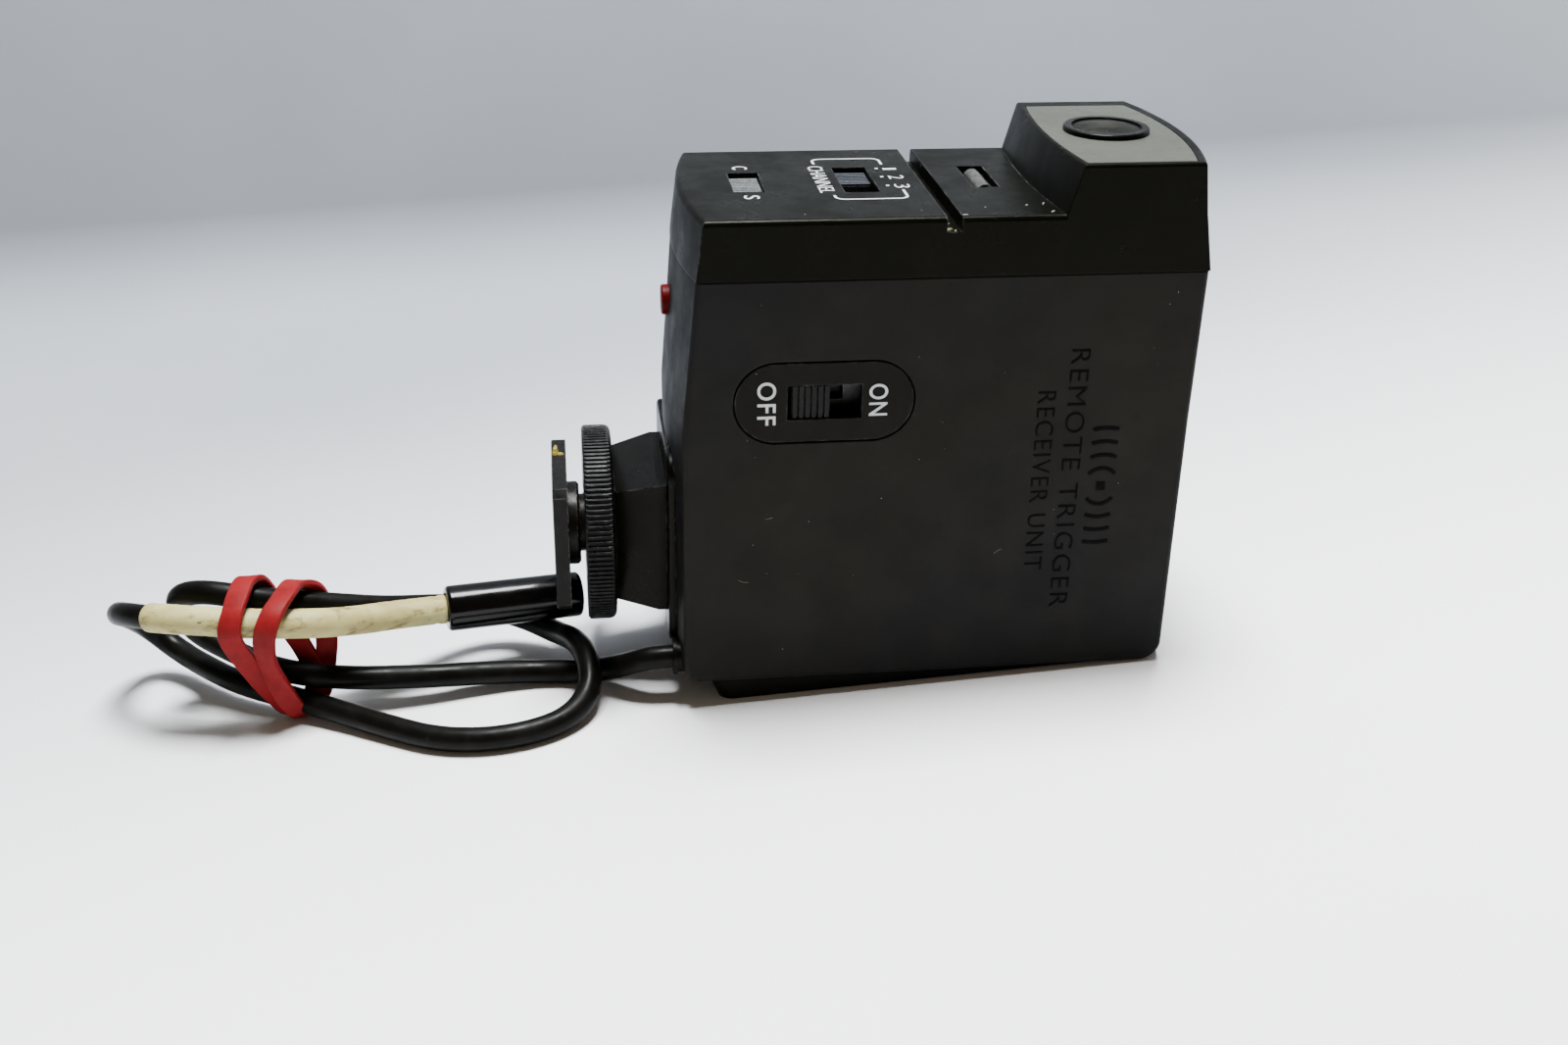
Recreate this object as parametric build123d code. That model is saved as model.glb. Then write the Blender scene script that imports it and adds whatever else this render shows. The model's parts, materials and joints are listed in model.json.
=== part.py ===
from build123d import *
import math
import os

# An infrared wireless remote receiver with an accessory-shoe foot and a release cord.
# Millimetres.  Each piece is drawn in the frame of its case: X from the foot end to the
# sensor end, Y from the lettered front face to the back, Z from the battery door up to
# the switch deck, origin at the front, bottom, foot-end corner of the sensor-end box.
# stand_up() then leans that frame so that the wedge-shaped door lies flat on the floor.

# ---- case ----
CASE_LENGTH = 64.3
CASE_DEPTH = 34.0
MID_DEPTH = CASE_DEPTH / 2
SEAM_HEIGHT = 56.5
SHOULDER_HEIGHT = 36.0
SHOULDER_OUT = 1.9
BOW_LOW = 1.4
BOW_HIGH = 1.9
WALL = 1.8
END_ROUND_LEFT = 2.0
END_ROUND_RIGHT = 2.8
RIGHT_FLARE = 0.3
SEAM_BEVEL = 0.2
EDGE_ROUND = 0.8

COVER_SCREW_X = 60.2
COVER_SCREW_YS = (5.4, CASE_DEPTH - 5.4)
COLUMN_RADIUS = 3.0
COLUMN_TOP = 50.0

# ---- cover, deck and head ----
COVER_LIP = 0.10
DECK_HEIGHT = 64.1
DECK_THICKNESS = 1.8
DECK_LEFT = 0.8
DECK_RIGHT = 63.4
HEAD_HEIGHT = 70.3
HEAD_FOOT_LEFT = 45.6
HEAD_LEFT = 47.3
HEAD_RIGHT = 62.6
HEAD_BOW = 1.2
HEAD_SWELL = 0.5
GROOVE_LEFT = 30.6
GROOVE_WIDTH = 1.9
GROOVE_DEPTH = 1.9
LAMP_RECESS = (36.8, 40.2, 13.2, 23.8, 1.1)
FACE_PLATE_THICKNESS = 0.8
SENSOR_AT = (54.8, 16.8)
SENSOR_RING_DIAMETER = 11.2
SENSOR_LENS_DIAMETER = 9.1
SENSOR_RING_RISE = 0.7

# ---- switches ----
MODE_WINDOW = (5.8, 9.8, 12.8, 22.2)
MODE_KNOB_LENGTH = 6.7
MODE_TRAVEL = 2.4
CHANNEL_WINDOW = (19.9, 24.4, 11.9, 24.1)
CHANNEL_KNOB_LENGTH = 5.8
CHANNEL_TRAVEL = 6.0
KNOB_SINK = 0.65
KNOB_GAP = 0.15
POWER_PLATE_LENGTH = 22.9
POWER_PLATE_HEIGHT = 10.6
POWER_PLATE_THICKNESS = 1.0
POWER_AT = (16.1, 40.4)
POWER_WINDOW_LENGTH = 9.5
POWER_WINDOW_HEIGHT = 4.6
POWER_KNOB_LENGTH = 4.9
POWER_TRAVEL = 3.4
POWER_SCREW_XS = (POWER_AT[0] - 8.5, POWER_AT[0] + 8.5)
BUTTON_DIAMETER = 4.0
BUTTON_AT = (17.3, 48.7)
BUTTON_TIP = -3.4
BUTTON_TRAVEL = 0.7

# ---- boards ----
BOARD_BOTTOM = 51.5
BOARD_THICKNESS = 1.6
BOARD_TOP = BOARD_BOTTOM + BOARD_THICKNESS
BOARD_SCREWS = ((13.2, 6.5), (13.2, 27.5), (42.0, 6.5), (42.0, 27.5))
SWITCH_BODY_HEIGHT = 5.6
TACT_FACE = 3.9

# ---- battery bay ----
CELL_DIAMETER = 10.5
CELL_LENGTH = 44.5
CELL_LEFT = 7.0
CELL_SPREAD = 5.5
CELL_LEVELS = (9.3, 20.3)
BAY = (4.6, 53.0, 5.2, 28.8, 26.2)
BAY_WALL = 1.2
BAY_LEDGE = 1.0
LEAN = 3.45
DOOR_TOE = 64.3
DOOR = (1.4, 55.0, 1.5, 32.5)
DOOR_SLANT = 1.5
DOOR_GAP = 0.1
DOOR_TRAVEL = 8.0
HOOK_LENGTH = 3.0
HOOK_PLACES = (12.0, 42.0)

# ---- accessory-shoe foot ----
FOOT_AT = (17.2, 16.65)
FOOT_FACE = -18.66
FOOT_THICKNESS = 2.0
FOOT_WIDTH = 18.6
FOOT_HEIGHT = 18.0
COLLAR_DIAMETER = 11.5
COLLAR_END = -15.1
POST_DIAMETER = 8.0
RING_DIAMETER = 26.95
RING_FAR = -14.43
RING_NEAR = -10.48
RING_TEETH = 120
RING_NOTCH = 0.24
RING_BUSH_DIAMETER = 12.0
THREAD_CLEARANCE = 0.05
PEDESTAL_END = -10.4
PEDESTAL_BASE = 9.3
PEDESTAL_TOP = 8.0
PEDESTAL_SKIRT = 1.2
FLANGE_FACE = -3.6
FLANGE = (5.0, 29.3, 3.0, 30.8)
FLANGE_ROUND = 3.0
FLANGE_SCREW_SPREAD = 6.3

# ---- delivered frame ----
CENTRE_X = 25.8
CENTRE_Y = 17.0

# ---- cord: the route is in the delivered frame, from the grommet to the plug ----
CORD_DIAMETER = 3.3
CORD_EXIT = (3.7, 2.4)
GROMMET_FACE = -3.3
GROMMET_DIAMETER = 4.5
CORD_ROUTE = [
    (-28.96, -13.3, 6.4),
    (-31.6, -13.3, 6.55),
    (-34.2, -12.2, 5.4),
    (-37.5, -9.6, 3.4),
    (-41.5, -7.2, 1.8),
    (-46.5, -5.8, 1.7),
    (-54.0, -6.0, 2.5),
    (-64.0, -7.4, 3.8),
    (-75.0, -7.6, 5.0),
    (-83.3, -5.8, 6.3),
    (-89.3, -2.4, 8.1),
    (-94.0, 0.0, 10.2),
    (-95.5, -0.4, 14.2),
    (-94.6, -2.8, 17.6),
    (-91.0, -5.0, 19.0),
    (-85.8, -6.0, 18.2),
    (-80.3, -5.0, 16.2),
    (-73.8, -3.0, 13.9),
    (-67.8, -0.5, 11.4),
    (-61.3, 3.8, 8.7),
    (-55.3, 6.6, 6.4),
    (-49.3, 5.4, 4.4),
    (-44.8, 0.8, 4.0),
    (-42.0, -4.8, 5.7),
    (-40.4, -10.0, 5.5),
    (-40.4, -14.6, 3.2),
    (-43.3, -18.7, 1.8),
    (-48.3, -21.3, 1.7),
    (-54.8, -22.0, 1.7),
    (-61.3, -20.4, 1.7),
    (-67.3, -16.5, 1.7),
    (-74.0, -11.9, 2.0),
    (-81.0, -7.8, 2.7),
    (-88.3, -3.8, 3.3),
    (-93.8, 1.2, 3.7),
    (-98.8, 6.5, 4.2),
    (-102.4, 7.8, 7.6),
    (-104.0, 4.9, 11.2),
    (-104.1, 0.6, 14.0),
    (-101.8, -3.4, 15.8),
    (-96.3, -7.4, 16.7),
    (-90.3, -9.4, 16.8),
    (-84.3, -9.8, 15.9),
    (-78.3, -9.1, 14.8),
    (-72.3, -6.7, 13.1),
    (-65.8, -2.5, 11.2),
    (-59.6, -1.1, 10.6),
]
SLEEVE_DIAMETER = 4.1
SLEEVE_JOINS_ROUTE = 40
PLUG_DIAMETER = 6.4
PLUG_END = (-41.0, 2.9, 8.8)
PLUG_RECESS = 2.4
BAND_WIDTH = 3.4
BAND_THICKNESS = 0.8
BAND_X = -80.7
FLOOR_GAP = 0.05
# each wrap: its tilt, then y, z and radius of the four strands that it goes round
BAND_WRAPS = [
    (23.6, [(-5.4, 6.5, 2.0), (-5.4, 18.7, 2.0), (-7.3, 2.8, 2.0), (-9.6, 16.4, 2.3)]),
    (9.0, [(-6.0, 6.1, 1.9), (-5.6, 17.3, 1.9), (-7.8, 2.7, 1.9), (-9.6, 15.7, 2.3)]),
]


def stand_up(shape):
    """Lean a case-frame shape onto its door and centre it over the origin."""
    lift = DOOR_TOE * math.sin(math.radians(LEAN))
    return Pos(-CENTRE_X, -CENTRE_Y, lift) * Rot(0, LEAN, 0) * shape


def box(x0, x1, y0, y1, z0, z1):
    return Pos((x0 + x1) / 2, (y0 + y1) / 2, (z0 + z1) / 2) * Box(x1 - x0, y1 - y0, z1 - z0)


def rod_x(radius, x0, x1, y, z):
    return Pos((x0 + x1) / 2, y, z) * Rot(0, 90, 0) * Cylinder(radius, x1 - x0)


def rod_y(radius, y0, y1, x, z):
    return Pos(x, (y0 + y1) / 2, z) * Rot(90, 0, 0) * Cylinder(radius, y1 - y0)


def rod_z(radius, z0, z1, x, y):
    return Pos(x, y, (z0 + z1) / 2) * Cylinder(radius, z1 - z0)


def bowed(left, right, front, back, bow_left, bow_right, z):
    """Outline with straight long sides and ends that bow outwards."""
    middle = (front + back) / 2
    edges = [
        Line((left, front), (right, front)),
        ThreePointArc((right, front), (right + bow_right, middle), (right, back)),
        Line((right, back), (left, back)),
        ThreePointArc((left, back), (left - bow_left, middle), (left, front)),
    ]
    return Pos(0, 0, z) * make_face(Curve() + edges)


def case_section(z, inset=0.0):
    """The case's outline at a height; the foot end leans in above the shoulder."""
    rise = max(0.0, z - SHOULDER_HEIGHT) / (SEAM_HEIGHT - SHOULDER_HEIGHT)
    left = -SHOULDER_OUT * (1 - rise) + inset
    bow = BOW_LOW + (BOW_HIGH - BOW_LOW) * rise
    right = CASE_LENGTH + RIGHT_FLARE * rise - inset
    return bowed(left, right, inset, CASE_DEPTH - inset, bow, BOW_HIGH, z)


def case_block(floor, inset):
    lower = extrude(case_section(floor, inset), SHOULDER_HEIGHT - floor)
    ends = [case_section(SHOULDER_HEIGHT, inset), case_section(SEAM_HEIGHT, inset)]
    return lower, loft(ends, ruled=True)


def rounded_case():
    lower, upper = case_block(0, 0)
    end_edges = [e for e in lower.edges().group_by(Axis.Z)[0] if e.geom_type == GeomType.CIRCLE]
    for end, radius in zip(sorted(end_edges, key=lambda e: e.center().X), (END_ROUND_LEFT, END_ROUND_RIGHT)):
        same = min(lower.edges().group_by(Axis.Z)[0], key=lambda e: (e.center() - end.center()).length)
        lower = fillet(same, radius)
    block = lower + upper
    long_edges = [e for e in block.edges().filter_by(Axis.X) if abs(e.center().Z) < 0.01]
    corners = [e for e in block.edges() if e.length > 15 and abs(e.tangent_at(0.5).Z) > 0.9]
    block = fillet(long_edges + corners, EDGE_ROUND)
    return chamfer(block.edges().group_by(Axis.Z)[-1], SEAM_BEVEL)


def power_oval(grow, y0, y1):
    """Stadium-shaped block in the front face, with its long axis along X."""
    radius = POWER_PLATE_HEIGHT / 2 + grow
    reach = POWER_PLATE_LENGTH / 2 - POWER_PLATE_HEIGHT / 2
    x, z = POWER_AT
    straight = box(x - reach, x + reach, y0, y1, z - radius, z + radius)
    return straight + rod_y(radius, y0, y1, x - reach, z) + rod_y(radius, y0, y1, x + reach, z)


def power_window(y0, y1, grow=0.0):
    x, z = POWER_AT
    half_x = POWER_WINDOW_LENGTH / 2 + grow
    half_z = POWER_WINDOW_HEIGHT / 2 + grow
    return box(x - half_x, x + half_x, y0, y1, z - half_z, z + half_z)


def flange_screw_places():
    y, z = FOOT_AT
    sides = (-FLANGE_SCREW_SPREAD, FLANGE_SCREW_SPREAD)
    return [(y + across, z + up) for up in sides for across in sides]


def main_case(outside):
    lower, upper = case_block(WALL, WALL)
    shell = outside - (lower + upper)
    x0, x1, y0, y1, top = BAY
    bay = box(x0 - BAY_WALL, x1 + BAY_WALL, y0 - BAY_WALL, y1 + BAY_WALL, 0.9, top + BAY_WALL)
    shell += bay
    shell -= box(x0, x1, y0, y1, WALL, top)
    shell -= box(x0, x1, y0 + BAY_LEDGE, y1 - BAY_LEDGE, -1, WALL + 1)
    for place in HOOK_PLACES:
        start = place + DOOR_TRAVEL - 0.4
        shell -= box(start, start + HOOK_LENGTH + 0.8, y0 - 0.05, y1 + 0.05, -1, WALL + 1)
    for y in COVER_SCREW_YS:
        column = rod_z(COLUMN_RADIUS, 0.9, COLUMN_TOP, COVER_SCREW_X, y)
        shell += column
        shell -= rod_z(2.1, -1, COLUMN_TOP - 2, COVER_SCREW_X, y)
        shell -= rod_z(1.1, -1, COLUMN_TOP + 1, COVER_SCREW_X, y)
    shell -= power_oval(0.25, -1, POWER_PLATE_THICKNESS)
    shell -= power_window(-1, WALL + 1, 0.3)
    for x in POWER_SCREW_XS:
        boss = rod_y(1.9, 1.0, 4.2, x, POWER_AT[1])
        shell += boss
        shell -= rod_y(0.8, 1.5, 5, x, POWER_AT[1])
    shell -= rod_x(BUTTON_DIAMETER / 2 + 0.1, -6, 2, *BUTTON_AT)
    shell -= rod_x(GROMMET_DIAMETER / 2, -6, 2, *CORD_EXIT)
    for y, z in flange_screw_places():
        shell -= rod_x(1.15, -6, 2, y, z)
    return shell


def cover_section(z, inset=0.0):
    rise = (z - SEAM_HEIGHT) / (DECK_HEIGHT - SEAM_HEIGHT)
    left = -COVER_LIP + (DECK_LEFT + COVER_LIP) * rise + inset
    right_low = CASE_LENGTH + RIGHT_FLARE + COVER_LIP
    right = right_low + (DECK_RIGHT - right_low) * rise - inset
    front = -COVER_LIP + inset
    back = CASE_DEPTH + COVER_LIP - inset
    return bowed(left, right, front, back, BOW_HIGH, BOW_HIGH, z)


def head_section(z, inset=0.0):
    rise = (z - DECK_HEIGHT) / (HEAD_HEIGHT - DECK_HEIGHT)
    left = HEAD_FOOT_LEFT + (HEAD_LEFT - HEAD_FOOT_LEFT) * rise + inset
    right = DECK_RIGHT + (HEAD_RIGHT - DECK_RIGHT) * rise - inset
    front = -COVER_LIP + inset
    back = CASE_DEPTH + COVER_LIP - inset
    return bowed(left, right, front, back, HEAD_BOW, BOW_HIGH + HEAD_SWELL * rise, z)


def face_plate_outline(z, grow=0.0):
    front, back = 0.75 - grow, 31.2 + grow
    return bowed(HEAD_LEFT + 0.5 - grow, HEAD_RIGHT - 1.0 + grow, front, back, HEAD_BOW, BOW_HIGH, z)


def top_cover():
    slab = loft([cover_section(SEAM_HEIGHT), cover_section(DECK_HEIGHT)], ruled=True)
    rim = [e for e in slab.edges().group_by(Axis.Z)[-1] if e.center().X < CASE_LENGTH / 2 + 1]
    slab = fillet(rim, 0.7)
    head = loft([head_section(DECK_HEIGHT), head_section(HEAD_HEIGHT)], ruled=True)
    head = fillet(head.edges().group_by(Axis.Z)[-1], 0.45)
    # the head's walls run on below the deck, so that its front is one face with the cover's
    cover = slab + head + extrude(head_section(DECK_HEIGHT), -1.2)
    deck_under = DECK_HEIGHT - DECK_THICKNESS
    inner = loft([cover_section(SEAM_HEIGHT, WALL), cover_section(deck_under, WALL)], ruled=True)
    roof = HEAD_HEIGHT - 2.2
    hollow = loft([head_section(DECK_HEIGHT, WALL), head_section(roof, WALL)], ruled=True)
    throat = extrude(head_section(DECK_HEIGHT, WALL), -2.5)
    cover -= inner + hollow + throat
    tongue = extrude(case_section(SEAM_HEIGHT - 1.6, WALL + 0.12), 1.9)
    tongue -= extrude(case_section(SEAM_HEIGHT - 1.7, WALL + 1.0), 3.0)
    cover += tongue
    cover -= box(GROOVE_LEFT, GROOVE_LEFT + GROOVE_WIDTH, -3, 40, DECK_HEIGHT - GROOVE_DEPTH, 80)
    groove_floor = DECK_HEIGHT - GROOVE_DEPTH - 1.4
    x0, x1 = GROOVE_LEFT - 1.5, GROOVE_LEFT + GROOVE_WIDTH + 1.5
    cover += box(x0, x1, 1.0, CASE_DEPTH - 1.0, groove_floor, groove_floor + 1.4)
    for x0, x1, y0, y1 in (MODE_WINDOW, CHANNEL_WINDOW):
        cover -= box(x0, x1, y0, y1, deck_under - 1, DECK_HEIGHT + 1)
    x0, x1, y0, y1, depth = LAMP_RECESS
    cover += box(x0 - 1, x1 + 1, y0 - 1, y1 + 1, deck_under - 0.9, deck_under + 0.1)
    cover -= box(x0, x1, y0, y1, DECK_HEIGHT - depth, DECK_HEIGHT + 1)
    cover -= box(x0 + 0.5, x1 - 0.5, y0 + 0.6, y1 - 0.8, deck_under - 2, DECK_HEIGHT)
    cover -= extrude(face_plate_outline(HEAD_HEIGHT - FACE_PLATE_THICKNESS, 0.1), 2)
    cover -= rod_z(5.0, roof - 1, HEAD_HEIGHT + 1, *SENSOR_AT)
    for x, y in BOARD_SCREWS:
        cover += rod_z(2.4, BOARD_TOP, deck_under + 0.3, x, y)
        cover -= rod_z(0.85, BOARD_TOP - 1, deck_under - 1, x, y)
    for y in COVER_SCREW_YS:
        cover += rod_z(2.4, COLUMN_TOP + 0.1, deck_under + 0.3, COVER_SCREW_X, y)
        cover -= rod_z(0.85, COLUMN_TOP - 1, deck_under - 1, COVER_SCREW_X, y)
    return cover


def head_face_plate():
    plate = extrude(face_plate_outline(HEAD_HEIGHT - FACE_PLATE_THICKNESS), FACE_PLATE_THICKNESS)
    return plate - rod_z(5.0, 60, 80, *SENSOR_AT)


def lens_ring():
    outer = SENSOR_RING_DIAMETER / 2
    ring = rod_z(outer, HEAD_HEIGHT, HEAD_HEIGHT + SENSOR_RING_RISE, *SENSOR_AT)
    ring = fillet(ring.edges().group_by(Axis.Z)[-1], 0.3)
    ring += rod_z(4.95, HEAD_HEIGHT - 2.6, HEAD_HEIGHT + 0.1, *SENSOR_AT)
    ring -= rod_z(SENSOR_LENS_DIAMETER / 2, HEAD_HEIGHT - 0.9, HEAD_HEIGHT + 1, *SENSOR_AT)
    return ring - rod_z(4.1, HEAD_HEIGHT - 4, HEAD_HEIGHT + 1, *SENSOR_AT)


def sensor_lens():
    radius = SENSOR_LENS_DIAMETER / 2
    disc = rod_z(radius, HEAD_HEIGHT - 0.9, HEAD_HEIGHT + 0.3, *SENSOR_AT)
    dome_radius = 36.0
    dome_centre = HEAD_HEIGHT + SENSOR_RING_RISE + 0.05 - dome_radius
    dome = Pos(SENSOR_AT[0], SENSOR_AT[1], dome_centre) * Sphere(dome_radius)
    return disc + (dome & rod_z(radius, HEAD_HEIGHT - 0.2, HEAD_HEIGHT + 1, *SENSOR_AT))


def sensor_stack():
    x, y = SENSOR_AT
    board = box(x - 6, x + 6, y - 7, y + 7, 60.4, 61.4)
    diode = box(x - 3.2, x + 3.2, y - 2.8, y + 2.8, 61.4, 63.6)
    diode += Pos(x, y, 63.0) * Sphere(1.9) & rod_z(1.9, 63.5, 66, x, y)
    can = box(x - 4.6, x + 4.6, y - 4.6, y + 4.6, 61.4, 66.4)
    can -= box(x - 4.3, x + 4.3, y - 4.3, y + 4.3, 60, 66.1)
    can -= rod_z(3.2, 60, 70, x, y)
    return board, diode, can


def lamp_pieces():
    x0, x1, y0, y1, depth = LAMP_RECESS
    x = (x0 + x1) / 2
    radius = (x1 - x0) / 2 - 0.55
    base = DECK_HEIGHT - depth
    far = y1 - 0.9 - radius
    lens = rod_y(radius, y0 + 0.7, far, x, base + 0.1)
    lens += Pos(x, far, base + 0.1) * Sphere(radius)
    lens = lens & box(x0, x1, y0, y1, base - 1.6, DECK_HEIGHT + 2)
    led = box(x - 0.9, x + 0.9, y0 + 2, y1 - 3, base - 3.6, base - 1.7)
    return lens, led


def deck_knob(window, length, travel_ribs):
    """Slide-switch cap with cross ribs and a stem down to its switch."""
    x0, x1, y0, y1 = window
    top = DECK_HEIGHT - KNOB_SINK
    back = y1 - KNOB_GAP
    front = back - length
    cap = box(x0 + KNOB_GAP, x1 - KNOB_GAP, front, back, top - 2.2, top - 0.3)
    pitch = length / travel_ribs
    for i in range(travel_ribs):
        start = front + i * pitch
        cap += box(x0 + KNOB_GAP, x1 - KNOB_GAP, start + 0.1, start + pitch - 0.2, top - 0.6, top)
    middle_x, middle_y = (x0 + x1) / 2, (front + back) / 2
    cap += box(middle_x - 1, middle_x + 1, middle_y - 1, middle_y + 1, BOARD_TOP + 3.2, top - 2.0)
    return cap


def deck_switch(window, knob_length, travel):
    """Slide-switch housing with a slot for the knob's stem."""
    x0, x1, y0, y1 = window
    middle_x = (x0 + x1) / 2
    stem_y = y1 - KNOB_GAP - knob_length / 2
    top = BOARD_TOP + SWITCH_BODY_HEIGHT
    body = box(middle_x - 3, middle_x + 3, y0 - 0.8, y1 + 0.8, BOARD_TOP, top)
    body -= box(middle_x - 1.2, middle_x + 1.2, stem_y - travel - 1.3, stem_y + 1.3, BOARD_TOP + 3, top + 1)
    for side in (-1, 1):
        for i in range(4):
            y = (y0 + y1) / 2 + (i - 1.5) * 2.5
            x = middle_x + side * 2.2
            body += box(x - 0.25, x + 0.25, y - 0.25, y + 0.25, BOARD_BOTTOM, BOARD_TOP + 0.5)
    return body


def power_plate():
    plate = power_oval(0, 0.02, POWER_PLATE_THICKNESS)
    return plate - power_window(-1, 3)


def power_knob():
    x, z = POWER_AT
    left = x - POWER_WINDOW_LENGTH / 2 + 0.6
    right = left + POWER_KNOB_LENGTH
    half = POWER_WINDOW_HEIGHT / 2 - KNOB_GAP
    knob = box(left, right, 0.75, 2.6, z - half, z + half)
    ribs = 6
    pitch = POWER_KNOB_LENGTH / ribs
    for i in range(ribs):
        knob += box(left + i * pitch + 0.1, left + (i + 1) * pitch - 0.15, 0.25, 1.0, z - half, z + half)
    middle = (left + right) / 2
    return knob + box(middle - 1, middle + 1, 2.5, 6.0, z - 1, z + 1)


def power_switch_body():
    x, z = POWER_AT
    stem = x - POWER_WINDOW_LENGTH / 2 + 0.6 + POWER_KNOB_LENGTH / 2
    frame = box(x - 11.2, x + 11.2, 4.2, 4.9, z - 2.6, z + 2.6)
    body = box(x - 6.2, x + 6.2, 4.2, 9.6, z - 3.2, z + 3.2)
    body += frame
    body -= box(stem - 1.25, stem + 1.25 + POWER_TRAVEL, 3, 6.3, z - 1.25, z + 1.25)
    for place in POWER_SCREW_XS:
        body -= rod_y(1.1, 3, 6, place, z)
    for i in range(3):
        pin = x + (i - 1) * 3.0
        body += box(pin - 0.4, pin + 0.4, 9.4, 12.6, z - 0.9, z + 0.9) - rod_z(0.3, z - 3, z + 3, pin, 11.6)
    return body


def screw(head_radius, head_height, radius, length):
    """Pan-head screw along +Z with its head below Z = 0 and a cross recess."""
    body = rod_z(head_radius, -head_height, 0, 0, 0)
    body = fillet(body.edges().group_by(Axis.Z)[0], head_height * 0.45)
    body += rod_z(radius, -0.01, length, 0, 0)
    slot = head_radius * 0.55
    body -= box(-slot, slot, -0.22, 0.22, -head_height - 1, -head_height * 0.45)
    body -= box(-0.22, 0.22, -slot, slot, -head_height - 1, -head_height * 0.45)
    return body


def screws_at(places, turn, head_radius, head_height, radius, length):
    """One compound of identical screws; each place is where the head meets the work."""
    pattern = screw(head_radius, head_height, radius, length)
    return Compound([Pos(*place) * turn * pattern for place in places])


def circuit_board():
    board = box(7.2, 56.0, 3.4, CASE_DEPTH - 3.4, BOARD_BOTTOM, BOARD_TOP)
    board += box(2.2, 7.4, 9.0, CASE_DEPTH - 9.0, BOARD_BOTTOM, BOARD_TOP)
    for x, y in BOARD_SCREWS:
        board -= rod_z(1.15, 40, 60, x, y)
    for window in (MODE_WINDOW, CHANNEL_WINDOW):
        x0, x1, y0, y1 = window
        for side in (-1, 1):
            for i in range(4):
                x = (x0 + x1) / 2 + side * 2.2
                y = (y0 + y1) / 2 + (i - 1.5) * 2.5
                board -= rod_z(0.5, 40, 60, x, y)
    return board


def board_components():
    """Chips, capacitors and the coil on the underside and top of the circuit board."""
    under = BOARD_BOTTOM
    parts = [
        box(26.0, 44.5, 9.0, 15.5, under - 3.4, under),
        box(28.0, 37.0, 19.0, 25.5, under - 3.4, under),
        rod_z(3.1, under - 11.0, under, 49.5, 9.0),
        rod_z(3.1, under - 11.0, under, 49.5, 25.0),
        rod_z(2.5, under - 7.0, under, 17.5, 25.5),
        box(46.2, 53.4, 14.0, 20.0, under - 8.5, under),
    ]
    for i in range(5):
        x = 31.0 + i * 2.6
        parts.append(rod_y(0.9, 9.6, 14.6, x, BOARD_TOP + 0.95))
    return Compound(parts)


def test_button():
    y, z = BUTTON_AT
    radius = BUTTON_DIAMETER / 2
    cap = rod_x(radius, BUTTON_TIP, 0.0, y, z)
    cap = fillet(cap.edges().group_by(Axis.X)[0], 0.3)
    cap += rod_x(radius + 0.8, -0.35, 0.4, y, z)
    return cap + rod_x(0.8, 0.3, 3.0, y, z)


def tact_switch():
    y, z = BUTTON_AT
    body = box(TACT_FACE, TACT_FACE + 3.4, y - 3, y + 3, z - 3.2, BOARD_BOTTOM)
    return body + rod_x(1.0, TACT_FACE - 0.15, TACT_FACE + 0.1, y, z)


def coil_spring(mean_radius, wire, length, turns):
    """Closed-wound ends left out: a plain helix along +Z from Z = 0."""
    path = Helix(length / turns, length, mean_radius)
    section = Plane(origin=path @ 0, z_dir=path % 0) * Circle(wire / 2)
    return sweep(section, path=path)


def button_spring():
    y, z = BUTTON_AT
    spring = coil_spring(1.7, 0.3, TACT_FACE - 0.4 - 0.34, 4)
    return Pos(0.4 + 0.17, y, z) * Rot(0, 90, 0) * spring


def cell_places():
    return [(MID_DEPTH + side * CELL_SPREAD, z) for z in CELL_LEVELS for side in (-1, 1)]


def battery_cell(index):
    """AAA cell along X; neighbours face opposite ways."""
    y, z = cell_places()[index]
    flip = index in (0, 3)
    radius = CELL_DIAMETER / 2
    can = rod_x(radius, 0, CELL_LENGTH - 0.9, 0, 0)
    can = fillet(can.edges(), 0.5)
    nub = rod_x(1.8, CELL_LENGTH - 1.0, CELL_LENGTH, 0, 0)
    cell = can + nub
    if flip:
        cell = Pos(CELL_LENGTH, 0, 0) * Rot(0, 0, 180) * cell
    return Pos(CELL_LEFT, y, z) * cell


def battery_magazine():
    """Open frame that carries the four cells: two end plates, a shelf and a keel."""
    x0, x1, y0, y1, top = BAY
    a, b, c, d = x0 + 0.2, x1 - 0.2, y0 + 0.9, y1 - 0.9
    low, high = 3.4, top - 0.3
    frame = box(a, a + 1.0, c, d, low, high)
    frame += box(b - 0.9, b, c, d, low, high)
    middle = sum(CELL_LEVELS) / 2
    frame += box(a, b, c, d, middle - 0.2, middle + 0.2)
    for y, z in cell_places():
        frame -= rod_x(CELL_DIAMETER / 2 + 0.05, a + 1.0, b - 0.9, y, z)
    frame += box(a, b, MID_DEPTH - 0.2, MID_DEPTH + 0.2, low, high)
    for y, z in cell_places():
        frame -= rod_x(CELL_DIAMETER / 2 + 0.05, a + 1.0, b - 0.9, y, z)
    return frame


def battery_springs():
    spring = Rot(0, 90, 0) * coil_spring(3.2, 0.5, 0.62, 1.2)
    return Compound([Pos(BAY[0] + 1.49, y, z) * spring for y, z in cell_places()])


def battery_contacts():
    """Flat contacts at the sensor end, one for each cell."""
    x = CELL_LEFT + CELL_LENGTH + 0.02
    return Compound([box(x, x + 0.35, y - 3.2, y + 3.2, z - 3.2, z + 3.2) for y, z in cell_places()])


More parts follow.
